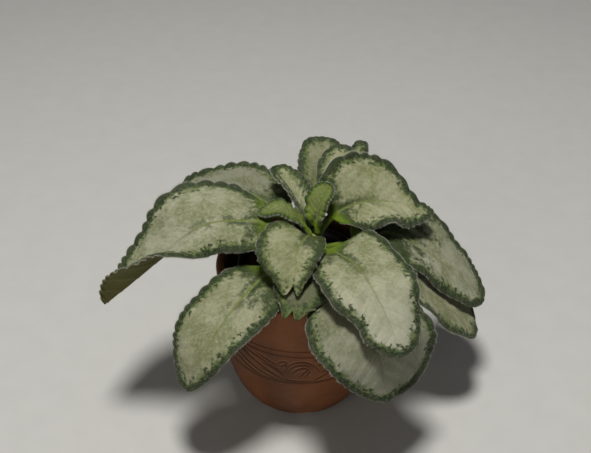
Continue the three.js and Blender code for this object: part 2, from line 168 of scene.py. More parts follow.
# %% Helper for finishes
class Finish:
    """A material in the making. Its methods return sockets that feed the next step."""

    def __init__(self, name, roughness=0.8, specular=0.4, sheen=0.0, subsurface=0.0):
        self.material = bpy.data.materials.new(name)
        self.material.use_nodes = True
        self.tree = self.material.node_tree
        self.shader = self.tree.nodes["Principled BSDF"]
        self.set_to(self.shader, "Roughness", roughness)
        self.set_to(self.shader, "Specular IOR Level", specular)
        self.set_to(self.shader, "Sheen Weight", sheen)
        self.set_to(self.shader, "Subsurface Weight", subsurface)
        self.color = None

    def set_to(self, node, socket, value):
        """Link a socket to an input, or give the input a plain value."""
        if isinstance(value, bpy.types.NodeSocket):
            self.tree.links.new(value, node.inputs[socket])
        elif isinstance(value, tuple) and len(value) == 3 and len(node.inputs[socket].default_value) == 4:
            node.inputs[socket].default_value = (*value, 1)
        else:
            node.inputs[socket].default_value = value

    def node(self, kind, inputs, **settings):
        """One more shader node, with its inputs and settings."""
        made = self.tree.nodes.new("ShaderNode" + kind)
        for key, value in settings.items():
            setattr(made, key, value)
        for socket, value in inputs.items():
            self.set_to(made, socket, value)
        return made

    def math(self, operation, *values):
        """What a sum gives for sockets or numbers."""
        return self.node("Math", dict(enumerate(values)), operation=operation).outputs[0]

    def attribute(self, name):
        """The number that the mesh keeps under this name at each point."""
        return self.node("Attribute", {}, attribute_name=name).outputs["Fac"]

    def place(self, stretch=(1, 1, 1)):
        """The point on the object, in metres, stretched so that noise can run in one direction."""
        at = self.node("TexCoord", {}).outputs["Object"]
        return self.node("Mapping", {"Vector": at, "Scale": stretch}).outputs["Vector"]

    def noise(self, scale, detail=3, vector=None, roughness=0.55):
        """Noise from 0 to 1, which gets finer as its scale grows."""
        inputs = {"Vector": vector or self.place(), "Scale": scale, "Detail": detail, "Roughness": roughness}
        return self.node("TexNoise", inputs).outputs["Fac"]

    def ramp(self, value, low, high, to_low=0.0, to_high=1.0):
        """An eased step: to_low while the value is at low, to_high when it reaches high."""
        inputs = {0: value, 1: low, 2: high, 3: to_low, 4: to_high}
        made = self.node("MapRange", inputs, interpolation_type="SMOOTHSTEP")
        return made.outputs[0]

    def mix(self, share, first, second):
        """The first colour where the share is 0, and the second where it is 1."""
        made = self.node("Mix", {0: share, 6: first, 7: second}, data_type="RGBA")
        return made.outputs[2]

    def lay_over(self, share, color):
        """One more coat of colour, which covers what is there by its share."""
        self.color = self.mix(share, self.color, color)

    def relief(self, height, depth, strength=1.0, under=None):
        """A normal bent by a height, on top of the relief under it if there is one."""
        inputs = {"Height": height, "Distance": depth, "Strength": strength}
        if under:
            inputs["Normal"] = under
        return self.node("Bump", inputs).outputs["Normal"]

    def use(self, **sockets):
        """Plug the sockets into the shader and hand the material over."""
        names = {"color": "Base Color", "roughness": "Roughness", "normal": "Normal"}
        for key, value in sockets.items():
            self.set_to(self.shader, names[key], value)
        print(self.material.name, "is mixed from", len(self.tree.nodes), "nodes")
        return self.material


# %% [markdown]
# ## Light and floor
# The shade under the leaves falls a little towards the pot and is soft at its edge, so the main
# light is a panel high above the front. A weak, warmer one from the front left and a pale world fill
# the shade. The floor is one large sheet with a faint grain, and belongs to the studio, not the part.
# The Standard view shows every colour as it was mixed, with no film curve over it, so the finishes
# can be compared with the photograph by number.

# %% Set up the studio
FLOOR_REACH = 3.0
FLOOR_HEIGHT = -0.2 * MM
FILL_COLOR = (0.86, 0.88, 0.92, 1)
FILL_STRENGTH = 0.09


def panel(name, place, aim, size, watts, color=(1, 1, 1)):
    """A round light that faces a point."""
    light = bpy.data.lights.new(name, "AREA")
    light.shape = "DISK"
    light.size = size
    light.energy = watts
    light.color = color
    lamp = put_in_scene(name, light)
    lamp.location = place
    towards = np.subtract(aim, place)
    flat = math.hypot(towards[0], towards[1])
    lamp.rotation_euler = (math.atan2(flat, -towards[2]), 0, math.atan2(-towards[0], towards[1]))
    print(name, "gives", watts, "watts")


panel("overhead_panel", (-0.04, -0.13, 1.18), (0, 0, 0.07), 0.26, 11.2, (1, 0.98, 0.94))
panel("front_panel", (-0.65, -1.0, 0.5), (0, 0, 0.06), 0.8, 2.0, (1, 0.93, 0.83))
bpy.context.scene.view_settings.view_transform = "Standard"

world = bpy.data.worlds.new("studio")
world.use_nodes = True
world.node_tree.nodes["Background"].inputs["Color"].default_value = FILL_COLOR
world.node_tree.nodes["Background"].inputs["Strength"].default_value = FILL_STRENGTH
bpy.context.scene.world = world

# %% Lay the floor
floor_finish = Finish("floor", roughness=0.9, specular=0.2)
floor_grain = floor_finish.noise(60, detail=4)
floor_finish.use(color=floor_finish.mix(floor_grain, (0.56, 0.56, 0.54), (0.62, 0.62, 0.60)))
corners = [(x * FLOOR_REACH, y * FLOOR_REACH, FLOOR_HEIGHT) for x, y in ((-1, -1), (1, -1), (1, 1), (-1, 1))]
floor = put_in_scene("floor", mesh_of("floor", corners, [(0, 1, 2, 3)]))
floor.data.materials.append(floor_finish.material)
floor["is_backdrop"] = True
print("the floor is", 2 * FLOOR_REACH, "metres wide")

# %% [markdown]
# ## Clay pot: the turned form
# The pot was turned: a flat foot, a side that swells out and then runs nearly straight up, and a
# round lip. A turned form is a profile spun round an axis. Blender's Screw modifier does that, but
# the carving needs its own depth at every point, so the profile's rows are spun with numpy. Rows lie
# close together only where the carver worked.

# %% Sizes of the clay pot
_, pot_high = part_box("clay_pot")
RIM_RADIUS = pot_high.x
POT_HEIGHT = pot_high.z
FOOT_RADIUS = 26 * MM
FOOT_RINGS = [8 * MM, 18 * MM]
FOOT_ROUND = 0.9 * MM
SHOULDER_RADIUS = 40.8 * MM
SHOULDER_HEIGHT = 40 * MM
FOOT_SWELL = (39 * MM, 10 * MM)
WALL = 4.5 * MM
INSIDE_FLOOR = 8 * MM
INSIDE_FLOOR_RADIUS = 27 * MM
INSIDE_SWELL = (35 * MM, 14 * MM)
LIP = WALL / 2
LIP_FROM = POT_HEIGHT - LIP
BAND = (33 * MM, 60 * MM)
BAND_STEP = 0.33 * MM
POT_COLUMNS = 630
print("clay pot in millimetres:", round(2 * RIM_RADIUS / MM), "wide,", round(POT_HEIGHT / MM), "high")


# %% Profile of the clay pot
def bow(t, start, pull, end):
    """A curve from start to end as t runs from 0 to 1, drawn towards a value between them."""
    return (1 - t) ** 2 * start + 2 * t * (1 - t) * pull + t * t * end


def wall_radius(height):
    """The radius of the outer wall at a height."""
    swell, rise = FOOT_SWELL
    bend = SHOULDER_HEIGHT - 2 * rise
    t = (np.sqrt(rise * rise + bend * np.minimum(height, SHOULDER_HEIGHT)) - rise) / bend
    low = bow(t, FOOT_RADIUS, swell, SHOULDER_RADIUS)
    share = (height - SHOULDER_HEIGHT) / (LIP_FROM - SHOULDER_HEIGHT)
    return np.where(height > SHOULDER_HEIGHT, SHOULDER_RADIUS + share * (RIM_RADIUS - SHOULDER_RADIUS), low)


def clay_profile():
    """Radii and heights from the foot up the outside, over the lip and down the inside."""
    quarter = np.linspace(0, math.pi / 2, 5)
    foot_r = FOOT_RADIUS - FOOT_ROUND * (1 - np.sin(quarter)) + FOOT_ROUND * 0.4
    foot_z = FOOT_ROUND * (1 - np.cos(quarter))
    low_z = np.linspace(FOOT_ROUND * 1.6, BAND[0], 16)
    band_z = np.arange(BAND[0] + BAND_STEP, BAND[1], BAND_STEP)
    high_z = np.linspace(BAND[1], LIP_FROM, 9)
    side_z = np.concatenate([low_z, band_z, high_z])
    turn = np.linspace(0, math.pi, 15)[1:]
    lip_r = RIM_RADIUS - LIP + LIP * np.cos(turn)
    lip_z = LIP_FROM + LIP * np.sin(turn)
    inner_r = np.linspace(lip_r[-1], SHOULDER_RADIUS - WALL, 7)[1:]
    inner_z = np.linspace(lip_z[-1], SHOULDER_HEIGHT, 7)[1:]
    t = np.linspace(0, 1, 9)[1:]
    bowl_r = bow(t, inner_r[-1], INSIDE_SWELL[0], INSIDE_FLOOR_RADIUS)
    bowl_z = bow(t, SHOULDER_HEIGHT, INSIDE_SWELL[1], INSIDE_FLOOR)
    radii = np.concatenate([FOOT_RINGS, foot_r, wall_radius(side_z), lip_r, inner_r, bowl_r])
    heights = np.concatenate([[0, 0], foot_z, side_z, lip_z, inner_z, bowl_z])
    return radii, heights


pot_radii, pot_heights = clay_profile()
print("clay pot rows:", len(pot_heights))

# %% [markdown]
# ## Clay pot: the carved band
# A band of wave and eye ornament was cut into the damp clay with a loop tool, between lines cut while
# the pot turned. A cut is a stroke: a path on the wall with a width and a depth that fade at both
# ends, and clay pushed up beside it. The strokes of one repeat are listed as millimetres round the
# wall and height, the repeat goes five times round, and a small seeded wander keeps the repeats
# from being copies. A turned line is a height, a depth and a width. Real depth is cut into the mesh,
# so that light and outline show it.

# %% List the strokes of one repeat
CARVED_RADIUS = 41 * MM
REPEATS = 5
WANDER = 0.5
CUT_WIDTH = 0.50
CUT_DEPTH = 0.60
PUSHED_UP = 0.13
PUSHED_ASIDE = 1.05
PUSHED_WIDTH = 0.45
TURNED_LINES = [(36, 0.6, 0.55), (54, 0.5, 0.5), (55.6, 0.2, 0.35), (57.5, 0.45, 0.4)]
STROKES = [
    [(-38, 50.5), (-30, 48), (-22, 44.5), (-15, 41), (-9, 37.5)],
    [(-42, 47.5), (-34, 45), (-26, 41.5), (-18, 38.5), (-12, 37)],
    [(-41, 43.5), (-34, 41), (-27, 38.5), (-21, 37.2)],
    [(-33, 52.4), (-24, 49.8), (-16, 46.8), (-10, 43.5)],
    [(-24, 52.4), (-16, 49), (-11.5, 46.8)],
    [(-20, 46.8), (-13, 44), (-8, 40.5)],
    [(-20, 42.5), (-16, 41), (-12.5, 39.5)],
    [(-38, 52.6), (-33, 50.6), (-28, 49)],
    [(-9, 42), (-5.5, 48), (-2, 50.2), (2, 50.5), (6, 48), (10, 43)],
    [(-6.8, 42.5), (-4, 46.8), (-0.5, 48.6), (3, 48.2), (6, 45.5)],
    [(-5, 41.5), (-2, 45), (1.5, 46.4), (5, 45)],
    [(-0.5, 40), (2, 43.5), (4.5, 45)],
    [(2.5, 41), (5, 44)],
    [(-11.5, 48.5), (-8.5, 50.3), (-6.5, 49)],
    [(-9.6, 46.6), (-8.2, 48), (-6.8, 47)],
    [(6.5, 52.4), (10, 49.5), (13.5, 46)],
    [(8.5, 47.5), (12, 49.2)],
    [(11, 43), (13.8, 44.8), (17, 44.5)],
    [(6, 37.4), (10, 39), (14, 41), (18, 42)],
    [(-9, 38.6), (-5.5, 37.4), (0, 37.2), (6, 37.6)],
]
print("strokes in one repeat:", len(STROKES))

# %% [markdown]
# ## Clay pot: from strokes to depth
# Each point of the wall asks how far it is from every stroke and takes the deepest cut. Clay pushed
# up beside a stroke stays only where no other stroke has cut it away. A sculpting brush could do it
# too, but by formula the same strokes can be made deeper, wider or finer at any time.

# %% Helper for smooth paths
STROKE_STEPS = 6


def smooth_path(points, steps):
    """A curve through the points, as steps points for each stretch between two of them."""
    points = np.asarray(points, float)
    ends = np.vstack([2 * points[0] - points[1], points, 2 * points[-1] - points[-2]])
    t = np.linspace(0, len(points) - 1, (len(points) - 1) * steps + 1)
    i = np.minimum(t.astype(int), len(points) - 2)
    w = (t - i)[:, None]
    before, start, end, after = ends[i], ends[i + 1], ends[i + 2], ends[i + 3]
    leave, arrive = (end - before) / 2, (after - start) / 2
    return ((2 * w**3 - 3 * w**2 + 1) * start + (w**3 - 2 * w**2 + w) * leave
            + (3 * w**2 - 2 * w**3) * end + (w**3 - w**2) * arrive)


print("points on the first stroke:", len(smooth_path(STROKES[0], STROKE_STEPS)))

# %% Depth of one stroke
FAR_OFF = 99.0


def cut_depth(across, depth):
    """A cut's floor and the clay pushed up beside it, at a distance from the stroke's path."""
    pushed = PUSHED_UP * np.exp(-(((across - PUSHED_ASIDE) / PUSHED_WIDTH) ** 2))
    return depth * np.exp(-((across / CUT_WIDTH) ** 2)) - pushed


def nearest_on(path, fade, x, y):
    """Each point's distance from a stroke's path, and the share of full depth the stroke has there."""
    best = np.full(np.broadcast(x, y).shape, FAR_OFF)
    share = np.zeros_like(best)
    for k in range(len(path) - 1):
        (ax, ay), (bx, by) = path[k], path[k + 1]
        length = (bx - ax) ** 2 + (by - ay) ** 2
        way = np.clip(((x - ax) * (bx - ax) + (y - ay) * (by - ay)) / length, 0, 1)
        far = np.hypot(x - ax - way * (bx - ax), y - ay - way * (by - ay))
        closer = far < best
        best = np.where(closer, far, best)
        share = np.where(closer, fade[k] + way * (fade[k + 1] - fade[k]), share)
    return best, share


print("millimetres of clay pushed up beside a cut:", round(-float(cut_depth(PUSHED_ASIDE, CUT_DEPTH)), 3))

# %% Carve the whole band
STROKE_REACH = 4
HARDLY_CUT = 0.1
LINE_WOBBLE = 0.15
WOBBLES = 3


def carve(around, heights):
    """How deep the band is cut, in millimetres, at each height (row) and place round the wall (column)."""
    girth = 2 * math.pi * CARVED_RADIUS / MM
    cut = np.zeros((len(heights), len(around)))
    raised = np.zeros_like(cut)
    hand = np.random.default_rng(7)
    for height, depth, width in TURNED_LINES:
        wobble = LINE_WOBBLE * np.sin(around / girth * 2 * math.pi * WOBBLES + height)
        cut = np.maximum(cut, depth * np.exp(-(((heights[:, None] - height - wobble) / width) ** 2)))
    for repeat in range(REPEATS):
        for stroke in STROKES:
            drift = hand.uniform(-WANDER, WANDER, (len(stroke), 2)) * (0 if repeat == 0 else 1)
            path = smooth_path(np.array(stroke) + drift, STROKE_STEPS)
            path[:, 0] += repeat * girth / REPEATS
            middle = path[:, 0].mean()
            away = (around - middle + girth / 2) % girth - girth / 2
            near = np.flatnonzero(np.abs(away) < np.ptp(path[:, 0]) / 2 + STROKE_REACH)
            # A stroke is deepest half way and fades towards both ends.
            fade = np.sin(np.linspace(0.12, math.pi - 0.12, len(path))) ** 0.6
            far, share = nearest_on(path, fade, (away[near] + middle)[None, :], heights[:, None])
            stroke_cut = cut_depth(far, CUT_DEPTH) * share
            cut[:, near] = np.maximum(cut[:, near], stroke_cut)
            raised[:, near] = np.maximum(raised[:, near], -stroke_cut)
    return cut - raised * (cut < HARDLY_CUT)


around_pot = np.arange(POT_COLUMNS) / POT_COLUMNS * 2 * math.pi * CARVED_RADIUS / MM
in_band = (pot_heights > BAND[0]) & (pot_heights < BAND[1])
side_rows = np.flatnonzero(in_band & (pot_radii > RIM_RADIUS - WALL))
carving = np.zeros((len(pot_heights), POT_COLUMNS))
carving[side_rows] = carve(around_pot, pot_heights[side_rows] / MM)
pot_grid = turned_grid(pot_radii[:, None] - carving * MM, pot_heights, POT_COLUMNS)
pot_points, pot_faces = closed_turning(pot_grid)
carving_of_points = np.append(carving.ravel(), [0, 0])
clay_pot = make_piece("clay_pot_carved", pot_points, pot_faces, "clay_pot", "clay", cut=carving_of_points)
print("deepest cut in millimetres:", round(carving.max(), 2))

# %% [markdown]
# ## Clay pot: the finish
# Unglazed clay fired to a warm brown is dry and dense. Its colour drifts in large soft clouds where
# the kiln was hotter, and it is speckled by grit. Painted shade darkens the cuts, a painted highlight
# lightens the clay pushed up beside them, and a broken chalky line of lime stands at the foot, where
# water dried. A painted texture would need a map of the pot. Here clouds, specks and lime are noise,
# stretched noise gives the faint rings of turning, and the painted shade and highlight follow the
# depth of the carving.

# %% Finish the clay
clay = Finish("fired_clay", specular=0.30)
clay_cloud = clay.noise(28, detail=4)
clay_speck = clay.noise(1400, detail=2)
clay.color = clay.mix(clay.ramp(clay_cloud, 0.34, 0.66), (0.100, 0.033, 0.011), (0.215, 0.076, 0.025))
clay.lay_over(clay.ramp(clay_speck, 0.60, 0.72, 0, 0.55), (0.06, 0.025, 0.014))
clay.lay_over(clay.ramp(clay.noise(900), 0.63, 0.75, 0, 0.35), (0.42, 0.25, 0.16))
cut_here = clay.attribute("cut")
# Painted shade darkens the cuts.
clay.lay_over(clay.ramp(cut_here, 0.05, 0.5, 0, 0.7), (0.060, 0.024, 0.013))
# A painted highlight lightens the clay pushed up beside the cuts.
clay.lay_over(clay.ramp(cut_here, -0.02, -0.13, 0, 0.5), (0.36, 0.17, 0.09))
pot_height_here = clay.node("SeparateXYZ", {0: clay.place()}).outputs["Z"]
chalk_edge = clay.math("ADD", pot_height_here, clay.math("MULTIPLY", clay.noise(160), -0.004))
chalk = clay.math("MULTIPLY", clay.ramp(chalk_edge, 0.0038, 0.0024), clay.ramp(clay.noise(80), 0.50, 0.57))
clay.lay_over(clay.math("MULTIPLY", chalk, 0.75), (0.60, 0.56, 0.50))
clay_rough = clay.ramp(clay_cloud, 0.3, 0.7, 0.50, 0.72)
clay_bump = clay.relief(clay.noise(2200, detail=4), 0.00012, 0.5)
throwing = clay.noise(700, detail=2, vector=clay.place((0.03, 0.03, 1)))
clay_bump = clay.relief(throwing, 0.0002, 0.35, under=clay_bump)
clay_pot.data.materials.append(clay.use(color=clay.color, roughness=clay_rough, normal=clay_bump))

# %% [markdown]
# ## Nursery pot
# The black liner is a thin moulded cup with a stepped rim. Its profile is spun like the clay pot's,
# and the drain holes are cut by a Boolean modifier, the plain way to drill a mesh. The plastic is
# black with a dull shine, and dust and water marks lighten it in patches.

# %% Sizes of the nursery pot
liner_low, liner_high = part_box("nursery_pot")
LINER_RIM = liner_high.x
LINER_TOP = liner_high.z
LINER_FOOT = liner_low.z
LINER_STEP = LINER_TOP - 6 * MM
LINER_WALL = 1.2 * MM
LINER_BASE = 24 * MM
LINER_NECK = LINER_RIM - 1.9 * MM
LINER_MIDDLE = 10 * MM
LINER_COLUMNS = 96
DRAIN_RADIUS = 3 * MM
DRAIN_CIRCLE = 16 * MM
DRAINS = 4
DRILL_REACH = 3 * MM
DRILL_COLUMNS = 24
print("nursery pot in millimetres:", round(2 * LINER_RIM / MM), "wide")


# %% Turn the nursery pot
def liner_profile():
    """Radii and heights of the thin cup, up the outside and down the inside."""
    round_over = np.linspace(0, math.pi, 7)
    rim_r = LINER_RIM - LINER_WALL / 2 + LINER_WALL / 2 * np.cos(round_over)
    rim_z = LINER_TOP - LINER_WALL / 2 + LINER_WALL / 2 * np.sin(round_over)
    inside = LINER_RIM - LINER_WALL
    outer = [(LINER_MIDDLE, LINER_FOOT), (LINER_BASE - MM, LINER_FOOT), (LINER_BASE, LINER_FOOT + MM),
             (LINER_NECK, LINER_STEP), (LINER_RIM - 0.3 * MM, LINER_STEP + 0.4 * MM),
             (LINER_RIM, LINER_STEP + 0.9 * MM)]
    inner = [(inside, LINER_STEP + 1.4 * MM), (LINER_NECK - LINER_WALL, LINER_STEP + 0.6 * MM),
             (LINER_BASE - LINER_WALL, LINER_FOOT + LINER_WALL), (LINER_MIDDLE, LINER_FOOT + LINER_WALL)]
    return np.array(outer + list(zip(rim_r, rim_z)) + inner)


liner_points, liner_faces = closed_turning(turned_grid(*liner_profile().T, LINER_COLUMNS))
nursery_pot = make_piece("nursery_pot_cup", liner_points, liner_faces, "nursery_pot", "black_plastic")

# %% Drill the drain holes
drill_points, drill_faces = [], []
for i in range(DRAINS):
    angle = (i + 0.5) / DRAINS * 2 * math.pi
    ends = [LINER_FOOT - DRILL_REACH, LINER_FOOT + DRILL_REACH]
    drill = turned_grid([DRAIN_RADIUS] * 2, ends, DRILL_COLUMNS)
    drill = drill + np.array([DRAIN_CIRCLE * math.cos(angle), DRAIN_CIRCLE * math.sin(angle), 0])
    corners, sides = closed_turning(drill)
    drill_faces += [tuple(k + len(drill_points) for k in side) for side in sides]
    drill_points += corners.tolist()
drain_drill = put_in_scene("drain_drill", mesh_of("drain_drill", drill_points, drill_faces))
drilling = nursery_pot.modifiers.new("drains", "BOOLEAN")
drilling.object = drain_drill
bpy.context.view_layer.update()
drilled = bpy.data.meshes.new_from_object(nursery_pot.evaluated_get(bpy.context.evaluated_depsgraph_get()))
nursery_pot.modifiers.clear()
nursery_pot.data = drilled
bpy.data.objects.remove(drain_drill)
print("faces after drilling:", len(nursery_pot.data.polygons))

# %% Finish the plastic
plastic = Finish("dull_black_plastic", specular=0.45)
dust = plastic.ramp(plastic.noise(120, detail=5), 0.45, 0.75)
plastic_color = plastic.mix(dust, (0.006, 0.006, 0.007), (0.030, 0.028, 0.026))
plastic_rough = plastic.ramp(plastic.noise(400, detail=3), 0.3, 0.7, 0.35, 0.55)
plastic_bump = plastic.relief(plastic.noise(1500), 0.00004, 0.4)
nursery_pot.data.materials.clear()
nursery_pot.data.materials.append(
    plastic.use(color=plastic_color, roughness=plastic_rough, normal=plastic_bump))

# %% [markdown]
# ## Potting mix
# The mix is peat with crumbs of bark and a little pale grit. A bumpy sheet alone looks like cloth, so
# the top is a bumpy turned form and loose crumbs lie on it: small twenty-sided stones made rough by
# moving their corners, all in one mesh, with a number each that tells the finish how pale it is.

# %% Shape the ground and a crumb
mix_low, mix_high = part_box("potting_mix")
MIX_EDGE = mix_high.x
MIX_TOP = 77.5 * MM
MIX_MOUND = 1.2 * MM
MIX_COLUMNS = 120
GROUND_EDGE = MIX_EDGE - 0.6 * MM
CRUMBS = 1500
CRUMB_REACH = MIX_EDGE - 1.6 * MM
SMALL_CRUMB = (0.35, 0.8)
LARGE_CRUMB = (0.9, 1.5)
LARGE_EVERY = 9
SHARE_OF_PALE = 0.12


def ground_height(x, y):
    """The lie of the mix: a low mound with humps and hollows."""
    mound = MIX_MOUND * (1 - np.hypot(x, y) / MIX_EDGE)
    a, b = x / MM, y / MM
    humps = 0.5 * np.sin(a * 0.9) * np.cos(b * 0.8) + 0.3 * np.sin(a * 1.7 + b * 2.1)
    fine = 0.16 * np.sin(a * 4.1 + 1.3 * np.sin(b * 2.3)) * np.cos(b * 3.7 + a)
    return MIX_TOP + mound + (humps + fine) * MM


def crumb_shape():
    """A rough stone of unit size: two rings of five corners between two poles."""
    rings = [(0, 1.0, 1), (0.85, 0.45, 5), (0.85, -0.45, 5), (0, -1.0, 1)]
    corners = []
    for k, (radius, height, count) in enumerate(rings):
        for j in range(count):
            angle = (j + k / 2) * 2 * math.pi / 5
            corners.append((radius * math.cos(angle), radius * math.sin(angle), height))
    faces = []
    for j in range(5):
        k = (j + 1) % 5
        faces += [(0, 1 + j, 1 + k), (1 + j, 6 + j, 1 + k), (1 + k, 6 + j, 6 + k), (11, 6 + k, 6 + j)]
    return np.array(corners), faces


print("a crumb has", len(crumb_shape()[1]), "sides")

# %% Strew the crumbs on the ground
crumb_draw = np.random.default_rng(11)
mix_rings = np.concatenate([np.linspace(0.3, 0.97, 46), [1.0]]) * GROUND_EDGE
mix_grid = turned_grid(mix_rings[:, None], np.zeros((len(mix_rings), 1)), MIX_COLUMNS)[::-1].copy()
mix_grid[..., 2] = ground_height(mix_grid[..., 0], mix_grid[..., 1])
mix_side = [LINER_BASE - 2.2 * MM, MIX_EDGE - 0.3 * MM], [mix_low.z, MIX_TOP - 2.5 * MM]
mix_side = turned_grid(*mix_side, MIX_COLUMNS)
mix_points, mix_faces = closed_turning(np.vstack([mix_side, mix_grid]))
mix_points = mix_points.tolist()
paleness = [0.0] * len(mix_points)
crumb_corners, crumb_faces = crumb_shape()
for i in range(CRUMBS):
    away = CRUMB_REACH * math.sqrt(crumb_draw.uniform(0.02, 1))
    angle = crumb_draw.uniform(0, 2 * math.pi)
    x, y = away * math.cos(angle), away * math.sin(angle)
    size = crumb_draw.uniform(*(SMALL_CRUMB if i % LARGE_EVERY else LARGE_CRUMB)) * MM
    stretch = crumb_draw.uniform(0.5, 1.3, 3)
    turn = crumb_draw.uniform(0, math.pi)
    rough = crumb_corners * crumb_draw.uniform(0.75, 1.2, crumb_corners.shape) * stretch * size
    turned = np.column_stack([rough[:, 0] * math.cos(turn) - rough[:, 1] * math.sin(turn),
                              rough[:, 0] * math.sin(turn) + rough[:, 1] * math.cos(turn), rough[:, 2]])
    resting = turned + np.array([x, y, float(ground_height(x, y)) + size * 0.2])
    mix_faces += [tuple(k + len(mix_points) for k in face) for face in crumb_faces]
    mix_points += resting.tolist()
    pale = crumb_draw.uniform(0.6, 1) if crumb_draw.uniform() < SHARE_OF_PALE else crumb_draw.uniform(0, 0.35)
    paleness += [pale] * len(resting)
potting_mix = make_piece(
    "potting_mix_crumbs", mix_points, mix_faces, "potting_mix", "potting_mix", pale=paleness)
print("pale crumbs:", round(sum(value > 0.5 for value in paleness) / len(crumb_corners)), "of", CRUMBS)

# %% Finish the potting mix
mix_finish = Finish("peat_and_bark", roughness=0.95, specular=0.2)
peat = mix_finish.mix(mix_finish.noise(500, detail=5), (0.012, 0.008, 0.006), (0.055, 0.034, 0.020))
bark = mix_finish.mix(mix_finish.noise(700, detail=3), (0.12, 0.075, 0.040), (0.30, 0.21, 0.13))
mix_color = mix_finish.mix(mix_finish.ramp(mix_finish.attribute("pale"), 0.3, 0.8), peat, bark)
mix_bump = mix_finish.relief(mix_finish.noise(1800, detail=5), 0.0003, 0.8)
potting_mix.data.materials.append(mix_finish.use(color=mix_color, normal=mix_bump))

# %% [markdown]
# ## Stem
# The stem is a short woody stub, hidden by the leaves from most sides. It leans the way the crown
# does. Old leaves left scars as low rings, so the radius is a sum of waves over a turned form.

# %% Sizes of the stem
stem_low, stem_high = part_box("stem")
STEM_RADIUS = 4.4 * MM
STEM_LEAN_FROM = 79 * MM
STEM_LEAN = (6.2 * MM, 0.8 * MM)
STEM_DOME = 3 * MM
SCAR_DEPTH = 0.22 * MM
STEM_COLUMNS = 40
print("the stem's top in millimetres:", round(stem_high.z / MM, 1))


# %% Make the stem
def stem_axis(height):
    """Where the middle of the leaning stem is at a height."""
    t = np.maximum(0, (height - STEM_LEAN_FROM) / (stem_high.z - STEM_LEAN_FROM))
    return STEM_LEAN[0] * t, STEM_LEAN[1] * t


side_z = np.linspace(stem_low.z + 2 * MM, stem_high.z - STEM_DOME, 44)
dome = np.linspace(0, math.pi / 2, 9)[1:-1]
stem_r = np.concatenate([[STEM_RADIUS * 0.7], np.full(len(side_z), STEM_RADIUS), STEM_RADIUS * np.cos(dome)])
stem_z = np.concatenate([[stem_low.z], side_z, stem_high.z - STEM_DOME * (1 - np.sin(dome))])
stem_grid = turned_grid(stem_r, stem_z, STEM_COLUMNS)
angle = np.arange(STEM_COLUMNS) * 2 * math.pi / STEM_COLUMNS
scars = np.sin(stem_z[:, None] / MM * 3.2 + 2 * np.sin(angle * 2))
scars = scars + 0.5 * np.sin(angle * 5 + stem_z[:, None] / MM)
stem_grid[..., :2] *= (1 - SCAR_DEPTH / STEM_RADIUS * (0.5 + scars / 3))[..., None]
lean_x, lean_y = stem_axis(stem_grid[..., 2])
stem_grid[..., 0] += lean_x
stem_grid[..., 1] += lean_y
stem_points, stem_faces = closed_turning(stem_grid)
stem = make_piece("stem_stub", stem_points, stem_faces, "stem", "stem")

# %% Finish the stem
woody = Finish("stem_skin", roughness=0.85, specular=0.25)
stem_height = woody.node("SeparateXYZ", {0: woody.place()}).outputs["Z"]
greenness = woody.math("ADD", stem_height, woody.math("MULTIPLY", woody.noise(300), 0.012))
stem_color = woody.mix(woody.ramp(greenness, 0.092, 0.103), (0.11, 0.070, 0.035), (0.22, 0.27, 0.05))
stem_bump = woody.relief(woody.noise(1200, detail=4), 0.0002, 0.7)
stem.data.materials.append(woody.use(color=stem_color, normal=stem_bump))
